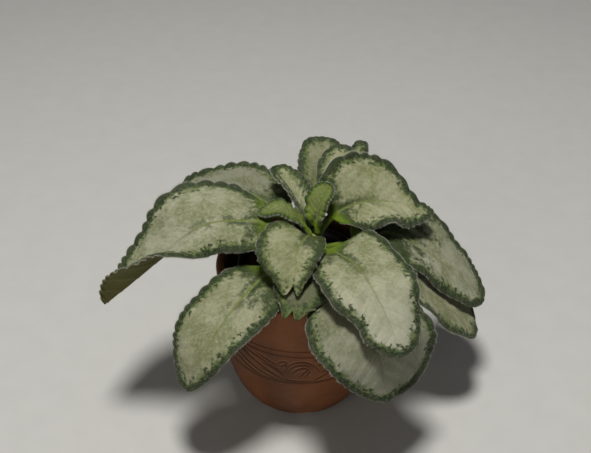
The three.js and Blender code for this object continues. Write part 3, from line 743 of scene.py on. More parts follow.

# %% [markdown]
# ## Leaves: the list
# A leaf is a stalk and a blade with one midrib. What makes each leaf of this rosette its own is where
# it leaves the stem, the line its midrib follows, how wide each half is and how it lifts, rolls and
# ripples. These are the same values that shape the plain solids, so the fine leaves lie where the
# solids lie. "Left" and "right" are seen from the root with the upper face up, and a pair of values
# is for the left half and the right.
#
# Lengths are millimetres and angles degrees. The root is a bearing round the stem and a height, the
# line goes on from there along the midrib, and its first stretch is bare stalk. The outline has a
# power for each half's base and tip. Lift and roll ease through their values from base to tip, curl
# bends each half down, and the waves say how high, how many and where they start. A waist narrows a
# half by a share at a place, a lobe pushes the base back, and a notch pushes the tip's sides ahead.
#
# No two leaves wear the same coat either, so each also says, where it isn't plain, how deep and long
# its scallops are, how many millimetres the margin of each half turns up, how young and green it
# still is, how far its silver is dulled by age and darkened by painted shade, how cool its tone is,
# whether painted shade marks the crease of its fold, how strong the painted highlight towards its tip
# is and how far the dark green reaches up each half of its base, which on leaf_right is also
# painted shade.

# %% List the leaves
PLAIN_LEAF = dict(roll=(0, 0, 0), curl=15, wave=(1, 1), ripples=2, start=(0, 0), lobe=(0, 0), notch=0,
                  waist=((0, 0), (0, 0)), scallop_depth=0.6, scallop_length=6.0, turn=(-0.5, -0.5),
                  young=0, dull=0, cool=0.3, fold=0, painted_tip_highlight=0, dark_base=(1, 1))
LEAVES = [PLAIN_LEAF | leaf for leaf in (
    dict(name="leaf_front_right", root=(-50, 92),
         line=[(24, -22, 98), (34, -44, 96), (42, -60, 85), (43, -67, 78)], stalk=12, width=(24, 23),
         outline=((0.2, 0.42), (0.3, 0.42)), lift=((20, 12, 0), (20, 8, 0)), curl=20, wave=(2, 2),
         ripples=2.2, start=(0, 2), lobe=(7, 1), waist=((0.06, 0.3), (0.24, 0.72)), turn=(0.4, -0.4),
         cool=0.7, dark_base=(0.8, 1.3), painted_tip_highlight=0.55),
    dict(name="leaf_front_right_low", root=(-62, 86),
         line=[(17, -26, 89), (25, -44, 88), (35, -61, 75), (40, -67, 50)], stalk=30, width=(33, 27),
         outline=((0.5, 0.3), (0.5, 0.7)), lift=((15, 5, 0), (-10, -6, 0)), curl=20, wave=(1.5, 1.5),
         turn=(1.6, 0.2), dull=0.34, cool=1.0, painted_tip_highlight=0.5),
    dict(name="leaf_front_left_low", root=(225, 88),
         line=[(-16, -21, 90.5), (-31, -40, 85.5), (-45, -56, 70), (-54, -59, 48)], stalk=24,
         width=(18, 24), outline=((0.15, 0.7), (0.5, 0.4)), lift=((-8, -8, 0), (10, 5, 0)),
         turn=(-0.2, 0.8), dull=0.08, cool=0.6, dark_base=(2.1, 1.3)),
    dict(name="leaf_left", root=(192, 92),
         line=[(-21, -2, 107), (-48, -5, 107), (-70, -12, 92), (-84, -18, 82), (-97, -22, 72)],
         stalk=20, width=(22, 29), outline=((0.36, 0.5), (0.5, 0.85)),
         lift=((-10, 5, 70, 100), (-8, 5, 10)), roll=(-10, -20, -5), wave=(2, 2), ripples=2.5,
         waist=((0.25, 0.32), (0, 0)), scallop_depth=1.0, turn=(-0.6, 1.6), cool=1.0),
    dict(name="leaf_back_left", root=(145, 90),
         line=[(-10, 13.5, 101.5), (-27, 24, 107.5), (-45, 32, 106), (-62, 37, 104)], stalk=18,
         width=(13, 26), outline=((0.6, 0.45), (0.6, 0.45)), lift=((-10, -10, 0), (10, 5, 0)),
         scallop_depth=1.0, turn=(0, 2.0), dull=0.36, cool=1.0, dark_base=(2.0, 2.0)),
    dict(name="leaf_back_right", root=(35, 93),
         line=[(16, 9, 103), (30, 17, 106), (49, 23, 102), (69, 24, 96)], stalk=14.5, width=(27, 17),
         outline=((0.6, 1), (0.4, 0.5)), lift=((45, 30, 5), (5, 5, 0)), roll=(10, 15, 10), wave=(1, 4),
         ripples=1.9, start=(0, 1.7), waist=((0.45, 0.86), (0, 0)), scallop_depth=0.9,
         turn=(1.0, -0.5), dark_base=(1.3, 1.3)),
    # Its dark base reaches far up the blade, partly as painted shade where the leaves above cover it.
    dict(name="leaf_right", root=(10, 89),
         line=[(26, 7, 88.5), (44, 11, 91), (62, 11, 82), (81, 7, 67), (96, 4, 52)], stalk=22,
         width=(30, 16), outline=((0.45, 0.42), (0.35, 0.42)), lift=((10, 5, 0), (12, 6, -5)),
         roll=(0, 15, 15), curl=20, wave=(1.5, 1.5), ripples=2.5, turn=(1.8, -0.6), cool=0.9,
         dark_base=(3.5, 3.5)),
    dict(name="leaf_right_low", root=(-15, 86),
         line=[(28, -8, 88), (45, -10, 86), (67, -9, 66), (92, -9, 43)], stalk=30, width=(30, 15),
         outline=((0.6, 0.26), (0.6, 0.42)), lift=((-12, -3, 4), (10, 5, 0)), wave=(1.5, 1.5),
         ripples=2.5, turn=(0.8, 0), dull=0.15),
    dict(name="leaf_centre_front", root=(258, 96),
         line=[(2, -10, 103), (-2, -22, 104), (-3.2, -32, 99.8), (-3.7, -37, 95.5)], stalk=6,
         width=(12, 20), outline=((0.4, 0.5), (0.4, 0.5)), lift=((20, 12, 8), (40, 25, 8)), curl=25,
         lobe=(2, 0), notch=5, scallop_length=4.4, young=0.1, dull=0.08, dark_base=(3.6, 1.2)),
    dict(name="leaf_under_centre", root=(262, 90), line=[(1, -20, 94), (-1, -34, 91.6), (-4, -45, 87)],
         stalk=10, width=(15, 13), outline=((0.4, 0.4), (0.4, 0.4)), lift=((12, 12, 12), (25, 15, 10)),
         curl=25, notch=5, young=0.1, dull=0.8),
    dict(name="leaf_back_high_left", root=(110, 87),
         line=[(3, 17, 98), (7, 37, 104), (11, 54, 110.5), (12, 65, 117)], stalk=28, width=(12, 11),
         outline=((0.6, 0.22), (0.6, 0.22)), lift=((25, 15, 5), (5, -5, -5)), curl=10, dull=0.36),
    dict(name="leaf_back_high_mid", root=(70, 90), line=[(14, 22, 106), (19, 41, 114), (24, 53, 119)],
         stalk=22, width=(10, 9), outline=((0.6, 0.3), (0.6, 0.4)), lift=((20, 10, 0), (20, 10, 0)),
         curl=10, dull=0.12),
    dict(name="leaf_back_far_right", root=(48, 86),
         line=[(20, 30, 99), (29, 50, 106), (33.5, 64, 115)], stalk=36, width=(6, 5),
         outline=((0.5, 0.25), (0.5, 0.25)), lift=((20, 10, 0), (20, 10, 0)), curl=10,
         wave=(0.5, 0.5)),
    dict(name="leaf_upright_left", root=(128, 96), line=[(-1, 15, 104), (-7, 23, 111), (-15, 31, 118)],
         stalk=5, width=(6.5, 11), outline=((0.45, 0.35), (0.45, 0.3)),
         lift=((60, 60, 40), (25, 20, 10)), curl=10, wave=(0.5, 0.5), scallop_depth=0.7,
         scallop_length=4.0, young=0.15, fold=1.0),
    dict(name="leaf_inner_left", root=(195, 98),
         line=[(-3, 2.2, 107.8), (-11, 3.5, 111.8), (-21, 1.5, 109.5)], stalk=5, width=(6, 6.5),
         outline=((0.45, 0.4), (0.55, 0.4)), lift=((15, 5, 0), (20, 15, 5)), curl=10, wave=(0.5, 0.5),
         scallop_depth=1.0, scallop_length=2.8, young=0.8),
    dict(name="leaf_inner_upright", root=(30, 98), line=[(8, 4, 105), (10, 8, 113), (15.5, 12, 120)],
         stalk=3.5, width=(8, 6), outline=((0.55, 0.4), (0.4, 0.4)), lift=((30, 20, 10), (40, 30, 20)),
         curl=10, wave=(0.5, 0.5), scallop_depth=1.0, scallop_length=2.6, young=1.0),
)]
print("leaves:", len(LEAVES))

# %% [markdown]
# ## Leaves: the blade's surface
# The blade is a sheet bent in space. One could draw an outline, fill it and bend it with curve and
# lattice modifiers, but then the two halves can't roll on their own. So rows are laid square to the
# midrib, and in each row the halves leave it at their own lift and curl down as an arc. The outline
# is a power curve with a scallop at each tooth. Columns crowd at the edge, where it rounds over,
# and rows crowd at the tip.

# %% Values and curves for a blade
ROOT_INSET = 2
STALK_HALF_WIDTH = 1.5
EDGE_HALF_WIDTH = 0.35
BLUNT_TIP = 0.4
ROW_CROWDING = 0.7
WAIST_LENGTH = 0.13
ROWS_A_TOOTH = 9
STALK_ROWS = 14
HALF_COLUMNS = np.concatenate([np.linspace(0, 0.93, 17), [0.965, 0.985, 1.0]])
ACROSS = np.concatenate([-HALF_COLUMNS[:0:-1], HALF_COLUMNS])
FROM_RIB = np.abs(ACROSS)
MIDRIB_STEPS = 60
EDGE_TO_MIDRIB = 1.1
BLADE_OPENS = 8
SKIN_FLATTENS = 6
print("points across a blade:", len(ACROSS))


def ease(x):
    """A step from 0 to 1 that starts and ends gently."""
    return x * x * (3 - 2 * x)


def along(x, values):
    """A value that eases through the listed ones as x runs from 0 to 1."""
    values = np.asarray(values, float)
    place = np.clip(x, 0, 1) * (len(values) - 1)
    i = np.minimum(place.astype(int), len(values) - 2)
    return values[i] + ease(place - i) * (values[i + 1] - values[i])


def outline(v, powers):
    """The share of a half's full width at each share of the blade's length."""
    base, tip = powers
    widest = base / (base + tip)
    shape = (np.maximum(v, 1e-9) / widest) ** base * (np.maximum(1 - v, 0) / (1 - widest)) ** tip
    return np.where(v > 0, shape, 0)


def unit(vectors):
    """The same directions at length 1."""
    return vectors / np.maximum(np.linalg.norm(vectors, axis=-1, keepdims=True), 1e-12)


# %% [markdown]
# ## Leaves: from values to a bent sheet
# The midrib is a smooth curve through the listed points. Square to it, every row gets its width from
# the outline, the waist and the scallops, which are uneven and fade at the root and the tip. The row
# is then lifted, curled and rippled, and the sides of a notched tip are pushed ahead. On a real leaf
# these grow together, so they are added up in one formula and not in one modifier after another.
#
# In the formulas v is the share of the way up the blade, s is the share of the way along stalk and
# blade, and t runs evenly from scallop to scallop. The blade opens out over its first eighth, and
# its skin flattens over its first sixth.

# %% Follow the midrib
def midrib(leaf):
    """The midrib's length, and a function for its point at a share of that length."""
    bearing, height = leaf["root"]
    root = np.array([*stem_axis(height * MM), height * MM]) / MM
    root = root + ROOT_INSET * np.array([math.cos(math.radians(bearing)), math.sin(math.radians(bearing)), 0])
    path = smooth_path([root, *leaf["line"]], MIDRIB_STEPS)
    reach = np.concatenate([[0], np.cumsum(np.linalg.norm(np.diff(path, axis=0), axis=1))])
    length = reach[-1]

    def at(share):
        walked = np.clip(share, 0, 1) * length
        return np.stack([np.interp(walked, reach, path[:, k]) for k in range(3)], axis=-1)

    return length, at


def directions(leaf, s, at):
    """Forward along the midrib, across to the left and up, at each row's share of the length."""
    forward = unit(at(s + 0.01) - at(s - 0.01))
    heading = at(1) - at(0)
    side = unit(np.array([-heading[1], heading[0], 0]))
    across = unit(side - (forward @ side)[:, None] * forward)
    up = np.cross(forward, across)
    roll = np.radians(along(s, leaf["roll"]))[:, None]
    across, up = across * np.cos(roll) + up * np.sin(roll), up * np.cos(roll) - across * np.sin(roll)
    return forward, across, up


for leaf in LEAVES[:3]:
    print(leaf["name"], "is", round(midrib(leaf)[0]), "millimetres long")


# %% Cut one half's outline
def scalloped_half(leaf, half, teeth, t, v, hand):
    """How wide one half is at each row, and how far out on its scallop each row is."""
    narrower, waist_at = leaf["waist"][half]
    waist = 1 - narrower * np.exp(-(((v - waist_at) / WAIST_LENGTH) ** 2))
    spread = leaf["width"][half] * outline(v, leaf["outline"][half]) * waist
    drift = hand.uniform(0, 2 * math.pi, 3)
    # The scallops drift out of step, and their depth varies and fades at both ends of the blade.
    uneven = 0.30 * np.sin(9 * t + drift[0]) + 0.16 * np.sin(23 * t + drift[1])
    scallop = np.abs(np.sin(math.pi * (teeth * t + uneven)))
    depth = leaf["scallop_depth"] * (1 + 0.35 * np.sin(13 * t + drift[2]))
    depth = depth * np.minimum(1, t * 6) * (1 - 0.6 * v**6)
    spread = spread + (scallop - 0.5) * depth * np.minimum(1, spread / 8)
    blunt = leaf["width"][half] * BLUNT_TIP * v**8 if leaf["notch"] else 0
    stalk_part = STALK_HALF_WIDTH * (1 - v)
    return np.maximum(EDGE_HALF_WIDTH, np.sqrt(stalk_part**2 + spread**2 + blunt**2)), scallop


def by_half(left, right):
    """A grid of rows by columns with one value, or one list down the rows, for each half."""
    return np.where(ACROSS >= 0, np.reshape(left, (-1, 1)), np.reshape(right, (-1, 1)))


widest = [round(base / (base + tip), 2) for base, tip in LEAVES[0]["outline"]]
print("the first leaf's halves are widest at", widest, "of the blade's length")


# %% Lay out one leaf
def lay_out(leaf):
    """The middle surface of a leaf in millimetres, with what the relief and the finish need to know."""
    length, at = midrib(leaf)
    stalk = leaf["stalk"] / length
    teeth = round(EDGE_TO_MIDRIB * (length - leaf["stalk"]) / leaf["scallop_length"])
    hand = np.random.default_rng(len(leaf["name"]) + round(length))
    t = np.linspace(0, 1, teeth * ROWS_A_TOOTH + 1)
    v = (1 - ROW_CROWDING) * t + ROW_CROWDING * np.sin(math.pi * t / 2)
    s = np.concatenate([np.linspace(0, stalk, STALK_ROWS + 1)[:-1], stalk + (1 - stalk) * v])
    v = np.concatenate([np.zeros(STALK_ROWS), v])
    t = np.concatenate([np.zeros(STALK_ROWS), t])
    forward, across, up = directions(leaf, s, at)
    widths, scallops = zip(*[scalloped_half(leaf, half, teeth, t, v, hand) for half in (0, 1)])
    width = by_half(*widths)
    on_blade = np.minimum(v * BLADE_OPENS, 1)[:, None]
    lift = np.radians(by_half(along(v, leaf["lift"][0]), along(v, leaf["lift"][1]))) * on_blade
    curl = np.maximum(1e-3, math.radians(leaf["curl"]) * on_blade)
    out = width * (np.sin(lift) - np.sin(lift - curl * FROM_RIB)) / curl
    rise = width * (np.cos(lift - curl * FROM_RIB) - np.cos(lift)) / curl
    wave = by_half(*[leaf["wave"][half] * np.sin(2 * math.pi * leaf["ripples"] * v + leaf["start"][half])
                     for half in (0, 1)])
    ripple = wave * FROM_RIB**2 * np.sin(math.pi * v**0.8)[:, None]
    v_grid = v[:, None]
    ahead = leaf["notch"] * v_grid**6 * np.sin(math.pi * FROM_RIB)
    ahead = ahead - by_half(*leaf["lobe"]) * FROM_RIB * on_blade * (1 - v_grid) ** 3
    surface = (at(s)[:, None] + (np.sign(ACROSS) * out)[..., None] * across[:, None]
               + (rise + ripple)[..., None] * up[:, None] + ahead[..., None] * forward[:, None])
    return dict(surface=surface, v=v, width=width, scallop=by_half(*scallops),
                blade_length=length - leaf["stalk"])


print("rows and columns of the first leaf:", lay_out(LEAVES[0])["width"].shape)

# %% [markdown]
# ## Leaves: relief
# Close up the blade isn't smooth. The midrib and about eight pairs of side veins are pressed in, the
# flesh between them swells a little, each scallop is puffed, and some margins turn up like a brim
# while others roll under. A displacement texture could do this, but the veins must run from the
# midrib out and forward, so each point gets its distance to the nearest vein by formula. The edge
# and rib distances also steer the colours.

# %% Measure each point's distances
VEIN_PAIRS = 8
VEIN_SLANT = 0.8
VEIN_BEND = 0.014
VEIN_SQUARENESS = 0.75
print("millimetres between side veins on a 70 mm blade:", round(70 / (VEIN_PAIRS + 1), 1))


def flat_distances(blade):
    """For each point of a blade laid flat: millimetres from the edge, the midrib and the nearest vein."""
    width, v, length = blade["width"], blade["v"], blade["blade_length"]
    x = ACROSS * width
    y = np.repeat(v[:, None] * length, len(ACROSS), axis=1)
    rim = np.concatenate([np.stack([x[:, j], y[:, j]], axis=-1)[STALK_ROWS:] for j in (0, -1)])
    edge = (1 - FROM_RIB) * width
    for i in range(len(v)):
        row = np.stack([x[i], y[i]], axis=-1)
        away = np.linalg.norm(row[:, None] - rim[None], axis=-1).min(axis=1)
        edge[i] = np.minimum(edge[i], away)
    spacing = length / (VEIN_PAIRS + 1)
    count = (y - VEIN_SLANT * np.abs(x) - VEIN_BEND * x * x) / spacing + np.where(ACROSS < 0, 0.4, 0)
    vein = np.abs(count - np.round(count)) * spacing * VEIN_SQUARENESS
    return edge, x, y, vein, count


# %% Work out the relief
RIB_HALF_WIDTH = 0.8
RIB_DEPTH = 0.55
VEIN_HALF_WIDTH = 0.7
VEIN_DEPTH = 0.20
SWELL = 0.18
UNEVEN = 0.35
BRIM = 3.6
print("millimetres that the midrib and the side veins are pressed in:", RIB_DEPTH, VEIN_DEPTH)


def blade_relief(leaf, blade, hand):
    """Millimetres that each point of the middle surface moves along its normal."""
    edge, x, y, vein, count = blade["edge"], blade["x"], blade["y"], blade["vein"], blade["count"]
    v = blade["v"][:, None]
    flat = np.minimum(v * SKIN_FLATTENS, 1)
    inland = np.clip(edge / 5, 0, 1) * np.clip((1 - v) * 6, 0, 1) * flat
    rib = -RIB_DEPTH * np.exp(-((x / RIB_HALF_WIDTH) ** 2)) * (1 - v) ** 0.6 * flat
    veins = -VEIN_DEPTH * np.exp(-((vein / VEIN_HALF_WIDTH) ** 2)) * inland * np.clip(np.abs(x) / 2, 0, 1)
    swell = SWELL * (1 - np.cos(2 * math.pi * count)) / 2 * inland * np.clip(np.abs(x) / 4, 0, 1)
    phase = hand.uniform(0, 2 * math.pi, 6)
    uneven = sum(np.sin(x * a + y * b + p) for a, b, p in zip(
        (0.35, -0.28, 0.12, 0.5, -0.6, 0.2), (0.12, 0.21, -0.33, 0.3, 0.25, 0.55), phase)) / 6
    near_edge = np.clip(1 - edge / BRIM, 0, 1) ** 1.5 * flat
    puff = (blade["scallop"] - 0.6) * leaf["scallop_depth"] * near_edge
    rolled = np.where(ACROSS >= 0, *leaf["turn"]) * near_edge * np.clip(blade["width"] / 8, 0, 1)
    return rib + veins + swell + uneven * UNEVEN * flat + puff + rolled


# %% [markdown]
# ## Leaves: one closed skin
# The blade has an upper and a lower face, 0.8 mm apart, that meet in a rounded edge. A Solidify
# modifier would give an even thickness, but the rib stands out below and the stalk is round, so both
# faces are set off from the middle surface by formula and share their edge points. Each point keeps
# its distances as attributes.

# %% Close the skin
BLADE_THICKNESS = 0.8
KEEL = 0.9
RIB_SHARPNESS = 16
STALK_RISE = 0.8
STALK_SINK = 0.9
UNDER_VEIN = 0.2
UNDER_VEIN_HALF_WIDTH = 0.6


def skin(grid_top, grid_under):
    """Points and faces of the closed skin of two grids, which share the points of their edges."""
    rows, columns = grid_top.shape[:2]
    top = np.arange(rows * columns).reshape(rows, columns)
    under = top.copy()
    under[:, 1:-1] = rows * columns + np.arange(rows * (columns - 2)).reshape(rows, columns - 2)
    points = np.vstack([grid_top.reshape(-1, 3), grid_under[:, 1:-1].reshape(-1, 3)])
    faces = []
    for i in range(rows - 1):
        for j in range(columns - 1):
            faces.append((top[i, j], top[i + 1, j], top[i + 1, j + 1], top[i, j + 1]))
            faces.append((under[i, j], under[i, j + 1], under[i + 1, j + 1], under[i + 1, j]))
    for j in range(columns - 1):
        for i, step in ((0, 1), (rows - 1, -1)):
            ring = [top[i, j], top[i, j + 1], under[i, j + 1], under[i, j]][::step]
            faces.append(tuple(dict.fromkeys(int(k) for k in ring)))
    return points, [tuple(int(k) for k in face) for face in faces]


def both_faces(values, under_values=None):
    """One value per point of the skin, from a value per grid point."""
    under_values = values if under_values is None else under_values
    return np.concatenate([values.ravel(), under_values[:, 1:-1].ravel()])


print("points of a skin over 3 rows of 4:", len(both_faces(np.zeros((3, 4)))))


# %% Grow the leaves
def grow_leaf(leaf, seed):
    """One leaf as a piece, and its blade, which the hairs need later."""
    blade = lay_out(leaf)
    blade["edge"], blade["x"], blade["y"], blade["vein"], blade["count"] = flat_distances(blade)
    surface, v = blade["surface"], blade["v"][:, None]
    normal = unit(np.cross(np.gradient(surface, axis=0), np.gradient(surface, axis=1)))
    surface = surface + normal * blade_relief(leaf, blade, np.random.default_rng(seed))[..., None]
    normal = unit(np.cross(np.gradient(surface, axis=0), np.gradient(surface, axis=1)))
    flat = np.minimum(v * SKIN_FLATTENS, 1)
    stalk = STALK_HALF_WIDTH * np.sqrt(1 - FROM_RIB * FROM_RIB) * (1 - flat)
    rounding = np.sqrt(1 - FROM_RIB**24)
    keel = KEEL * (1 - v) ** 0.8 * np.exp(-RIB_SHARPNESS * FROM_RIB * FROM_RIB)
    ridges = UNDER_VEIN * np.exp(-((blade["vein"] / UNDER_VEIN_HALF_WIDTH) ** 2))
    ridges = ridges * np.clip(blade["edge"] / 4, 0, 1)
    above = STALK_RISE * stalk + flat * rounding * BLADE_THICKNESS / 2
    below = STALK_SINK * stalk + flat * rounding * (BLADE_THICKNESS / 2 + keel + ridges)
    blade["top"] = (surface + normal * above[..., None]) * MM
    blade["normal"] = normal
    points, faces = skin(blade["top"], (surface - normal * below[..., None]) * MM)
    rows = np.ones_like(blade["x"])
    # The edge counts as more than half upper, so the olive of the underside starts just below it.
    upper = both_faces(np.where(FROM_RIB > 0.99, 0.6, rows), rows * 0)
    coat = {key: both_faces(rows * leaf[key]) for key in ("young", "dull", "cool", "fold", "painted_tip_highlight")}
    piece = make_piece(
        leaf["name"] + "_blade", points, faces, leaf["name"], "leaf",
        edge=both_faces(blade["edge"]), rib=both_faces(np.abs(blade["x"])), along=both_faces(rows * v),
        vein=both_faces(blade["vein"]), upper=upper, on_blade=both_faces(rows * flat),
        grain=both_faces(blade["y"] - VEIN_SLANT * np.abs(blade["x"])),
        lay=both_faces(blade["y"] + blade["x"]), scallop=both_faces(blade["scallop"]),
        dark_base=both_faces(rows * np.where(ACROSS >= 0, *leaf["dark_base"])), **coat)
    return piece, blade


grown = {}
for seed, leaf in enumerate(LEAVES):
    grown[leaf["name"]] = grow_leaf(leaf, seed)

# %% [markdown]
# ## Leaves: the finish
# The blade is silver because air under its skin scatters light; the green shows where the skin lies
# tight: at the edge, in blotches behind it, along the midrib and at the base. So the finish starts
# silver, and green is laid over it where the distance from the edge, moved about by noise, is small.
# Young leaves are greener all over. Short hairs give a velvet sheen, and the underside is plain olive.

# %% Start the leaf finish
leaf_skin = Finish("silver_leaf", roughness=0.62, specular=0.18, sheen=0.07, subsurface=0.05)
leaf_skin.set_to(leaf_skin.shader, "Subsurface Scale", 0.0015)
leaf_skin.set_to(leaf_skin.shader, "Sheen Roughness", 0.45)
ramp, mix, noise = leaf_skin.ramp, leaf_skin.mix, leaf_skin.noise
attribute, work_out, lay_over = leaf_skin.attribute, leaf_skin.math, leaf_skin.lay_over
edge = attribute("edge")
rib = attribute("rib")
up_the_blade = attribute("along")
young = attribute("young")
scallop = attribute("scallop")
blotch = noise(170, detail=2)
mottle = noise(620, detail=3)
cloud = noise(90, detail=3)
hair_lay = leaf_skin.node("CombineXYZ", {0: attribute("grain"), 1: attribute("lay")}).outputs[0]
hair_lay = leaf_skin.node("Mapping", {"Vector": hair_lay, "Scale": (3.4, 0.6, 1)}).outputs["Vector"]
lying_hair = noise(1.0, detail=3, vector=hair_lay)


def shifted(value, by, reach):
    """The value moved up or down by a noise, at most half of reach each way."""
    return work_out("MULTIPLY_ADD", by, reach, work_out("ADD", value, -reach / 2))


def times(*values):
    """The product of sockets and numbers."""
    product = values[0]
    for value in values[1:]:
        product = work_out("MULTIPLY", product, value)
    return product


followed = [node.attribute_name for node in leaf_skin.tree.nodes if node.type == "ATTRIBUTE"]
print("the coats can follow", ", ".join(followed))

# %% [markdown]
# ## Leaves: the silver
# The silver isn't one grey. It drifts between a warmer and a cooler tone in clouds a centimetre wide,
# is greener and darker towards the base, partly as painted shade on the base that faces up to the
# light, and has a fine mottle of paler and deeper grains. A painted highlight pales the lower blade
# of some leaves towards the tip. A dark coat dulls the silver of old leaves and is painted shade on
# leaves that lie under others. The first coat is mixed from the clouds, and each later one lies over
# part of it.

# %% Mix the silver
warm_silver = mix(ramp(cloud, 0.38, 0.62), (0.212, 0.232, 0.082), (0.352, 0.353, 0.195))
cool_silver = mix(ramp(cloud, 0.38, 0.62), (0.205, 0.222, 0.122), (0.355, 0.360, 0.258))
leaf_skin.color = mix(attribute("cool"), warm_silver, cool_silver)
# Greener and darker towards the base, partly painted shade on the base of the blade, which faces up.
lay_over(ramp(shifted(up_the_blade, cloud, 0.25), 0.55, 0.02, 0, 0.6), (0.160, 0.182, 0.060))
lay_over(ramp(mottle, 0.42, 0.72, 0, 0.45), (0.44, 0.44, 0.30))
lay_over(ramp(mottle, 0.50, 0.28, 0, 0.28), (0.13, 0.155, 0.055))
# Painted highlight towards the tip, where the front leaves face the light.
lay_over(times(attribute("painted_tip_highlight"), ramp(up_the_blade, 0.35, 0.85)), (0.50, 0.50, 0.40))
# A dark coat: dull silver on old leaves, and painted shade on the leaves that lie under others.
lay_over(attribute("dull"), (0.050, 0.055, 0.030))
print("nodes with the silver:", len(leaf_skin.tree.nodes))

# %% [markdown]
# ## Leaves: the green and dark margin
# Three things follow the edge, from the inside out: moss green that reaches in raggedly, small dark
# spots, and the dark band, which is wider on each scallop and paler between two of them. A painted
# mask could place them, but the measured distance from the edge, shifted by noise, does so on every
# leaf at once.

# %% Colour the margin
moss = mix(ramp(mottle, 0.35, 0.65), (0.027, 0.062, 0.004), (0.105, 0.158, 0.026))
lay_over(ramp(shifted(shifted(edge, blotch, 8), mottle, 1.5), 5.4, 3.0, 0, 0.8), moss)
spots = ramp(noise(480, detail=1), 0.54, 0.63)
spot_zone = times(ramp(edge, 6.8, 5.2), ramp(edge, 1.8, 2.6))
lay_over(times(spot_zone, spots, 0.94), (0.015, 0.034, 0.006))
band_color = mix(ramp(mottle, 0.35, 0.75), (0.010, 0.021, 0.006), (0.044, 0.066, 0.022))
band_color = mix(ramp(edge, 1.6, 0.5, 0, 0.6), band_color, (0.045, 0.052, 0.036))
band_reach = work_out("MULTIPLY_ADD", scallop, -1.0, work_out("ADD", edge, 0.5))
band_reach = shifted(shifted(band_reach, blotch, 2.8), mottle, 0.5)
band = ramp(band_reach, 3.5, 2.1, 0, 0.94)
lay_over(band, band_color)
between_scallops = times(ramp(scallop, 0.35, 0.05), ramp(edge, 3.2, 2.2), 0.35)
lay_over(between_scallops, (0.13, 0.15, 0.075))
lay_over(ramp(edge, 0.45, 0.1, 0, 0.75), (0.20, 0.215, 0.165))
print("nodes with the margin:", len(leaf_skin.tree.nodes))

# %% [markdown]
# ## Leaves: young leaves, base, midrib and veins
# Young leaves are still fresh green with a yellow base. Older ones have a dark green patch at the
# base, which on leaf_right also stands for painted shade, and dark mottle beside the midrib. The
# midrib itself is a yellow-green line with painted shade along its pressed-in middle, and painted
# shade marks the crease of a folded leaf. These coats follow the share of the way up the blade and
# the distance from the midrib.

# %% Colour the base and the midrib
fresh_edge = ramp(shifted(edge, mottle, 1.2), 0.9, 2.2)
fresh = mix(fresh_edge, (0.036, 0.088, 0.002), (0.150, 0.195, 0.045))
fresh = mix(ramp(up_the_blade, 0.50, 0.05), fresh, (0.135, 0.205, 0.004))
fresh = mix(ramp(shifted(rib, mottle, 1.0), 0.9, 0.3), fresh, (0.120, 0.180, 0.010))
lay_over(times(young, ramp(shifted(edge, mottle, 1.2), 0.3, 0.9)), fresh)
# The dark green base; on leaf_right it reaches far up as painted shade.
reach_up = work_out("DIVIDE", up_the_blade, attribute("dark_base"))
dark_base = times(ramp(shifted(shifted(reach_up, blotch, 0.22), mottle, 0.09), 0.16, 0.08),
                  ramp(shifted(rib, mottle, 3), 0.8, 1.8), work_out("SUBTRACT", 1, young))
lay_over(times(dark_base, 0.94), mix(mottle, (0.010, 0.022, 0.003), (0.040, 0.068, 0.012)))
beside_rib = times(ramp(shifted(up_the_blade, blotch, 0.3), 0.60, 0.15),
                   ramp(shifted(rib, mottle, 4), 4.4, 1.8), ramp(blotch, 0.42, 0.50))
lay_over(times(beside_rib, 0.9), (0.022, 0.044, 0.006))
rib_line = ramp(shifted(rib, mottle, 1.2), 1.15, 0.35, 0, 0.9)
lay_over(times(rib_line, ramp(up_the_blade, 0.80, 0.15)), (0.140, 0.185, 0.022))
# Painted shade in the crease where a leaf folds along its midrib.
painted_fold_shade = ramp(shifted(rib, mottle, 1.6), 1.5, 0.7, 0, 0.92)
lay_over(times(painted_fold_shade, attribute("fold")), (0.018, 0.034, 0.007))
# Painted shade along the pressed-in middle of the midrib.
rib_shade = times(ramp(rib, 0.7, 0.1), ramp(up_the_blade, 1.0, 0.7, 0, 0.35))
lay_over(rib_shade, (0.15, 0.17, 0.07))
vein_line = ramp(attribute("vein"), 0.7, 0.1, 0, 0.16)
lay_over(times(vein_line, ramp(edge, 2.0, 5.0)), (0.15, 0.18, 0.07))
print("nodes with the base and the veins:", len(leaf_skin.tree.nodes))

# %% [markdown]
# ## Leaves: lying hair, stalk and underside
# Short hairs lie over the skin in streaks that run like the side veins, so a noise stretched along
# them makes a low bump and painted sheen: pale streaks of painted highlight where the lying hair
# catches the light, and darker streaks of painted shade between them. The stalk is a juicy green,
# and the underside has no silver at all.

# %% Finish the leaves
silver_here = work_out("SUBTRACT", 1, work_out("MAXIMUM", band, dark_base))
# Painted sheen of the lying hair: pale streaks of painted highlight, kept off the dark band, the dark base
# and dull, shaded leaves.
painted_hair_sheen = times(ramp(lying_hair, 0.50, 0.74, 0, 0.40), ramp(silver_here, -0.5, 0.9))
lay_over(times(painted_hair_sheen, ramp(attribute("dull"), 1.2, 0)), (0.50, 0.50, 0.37))
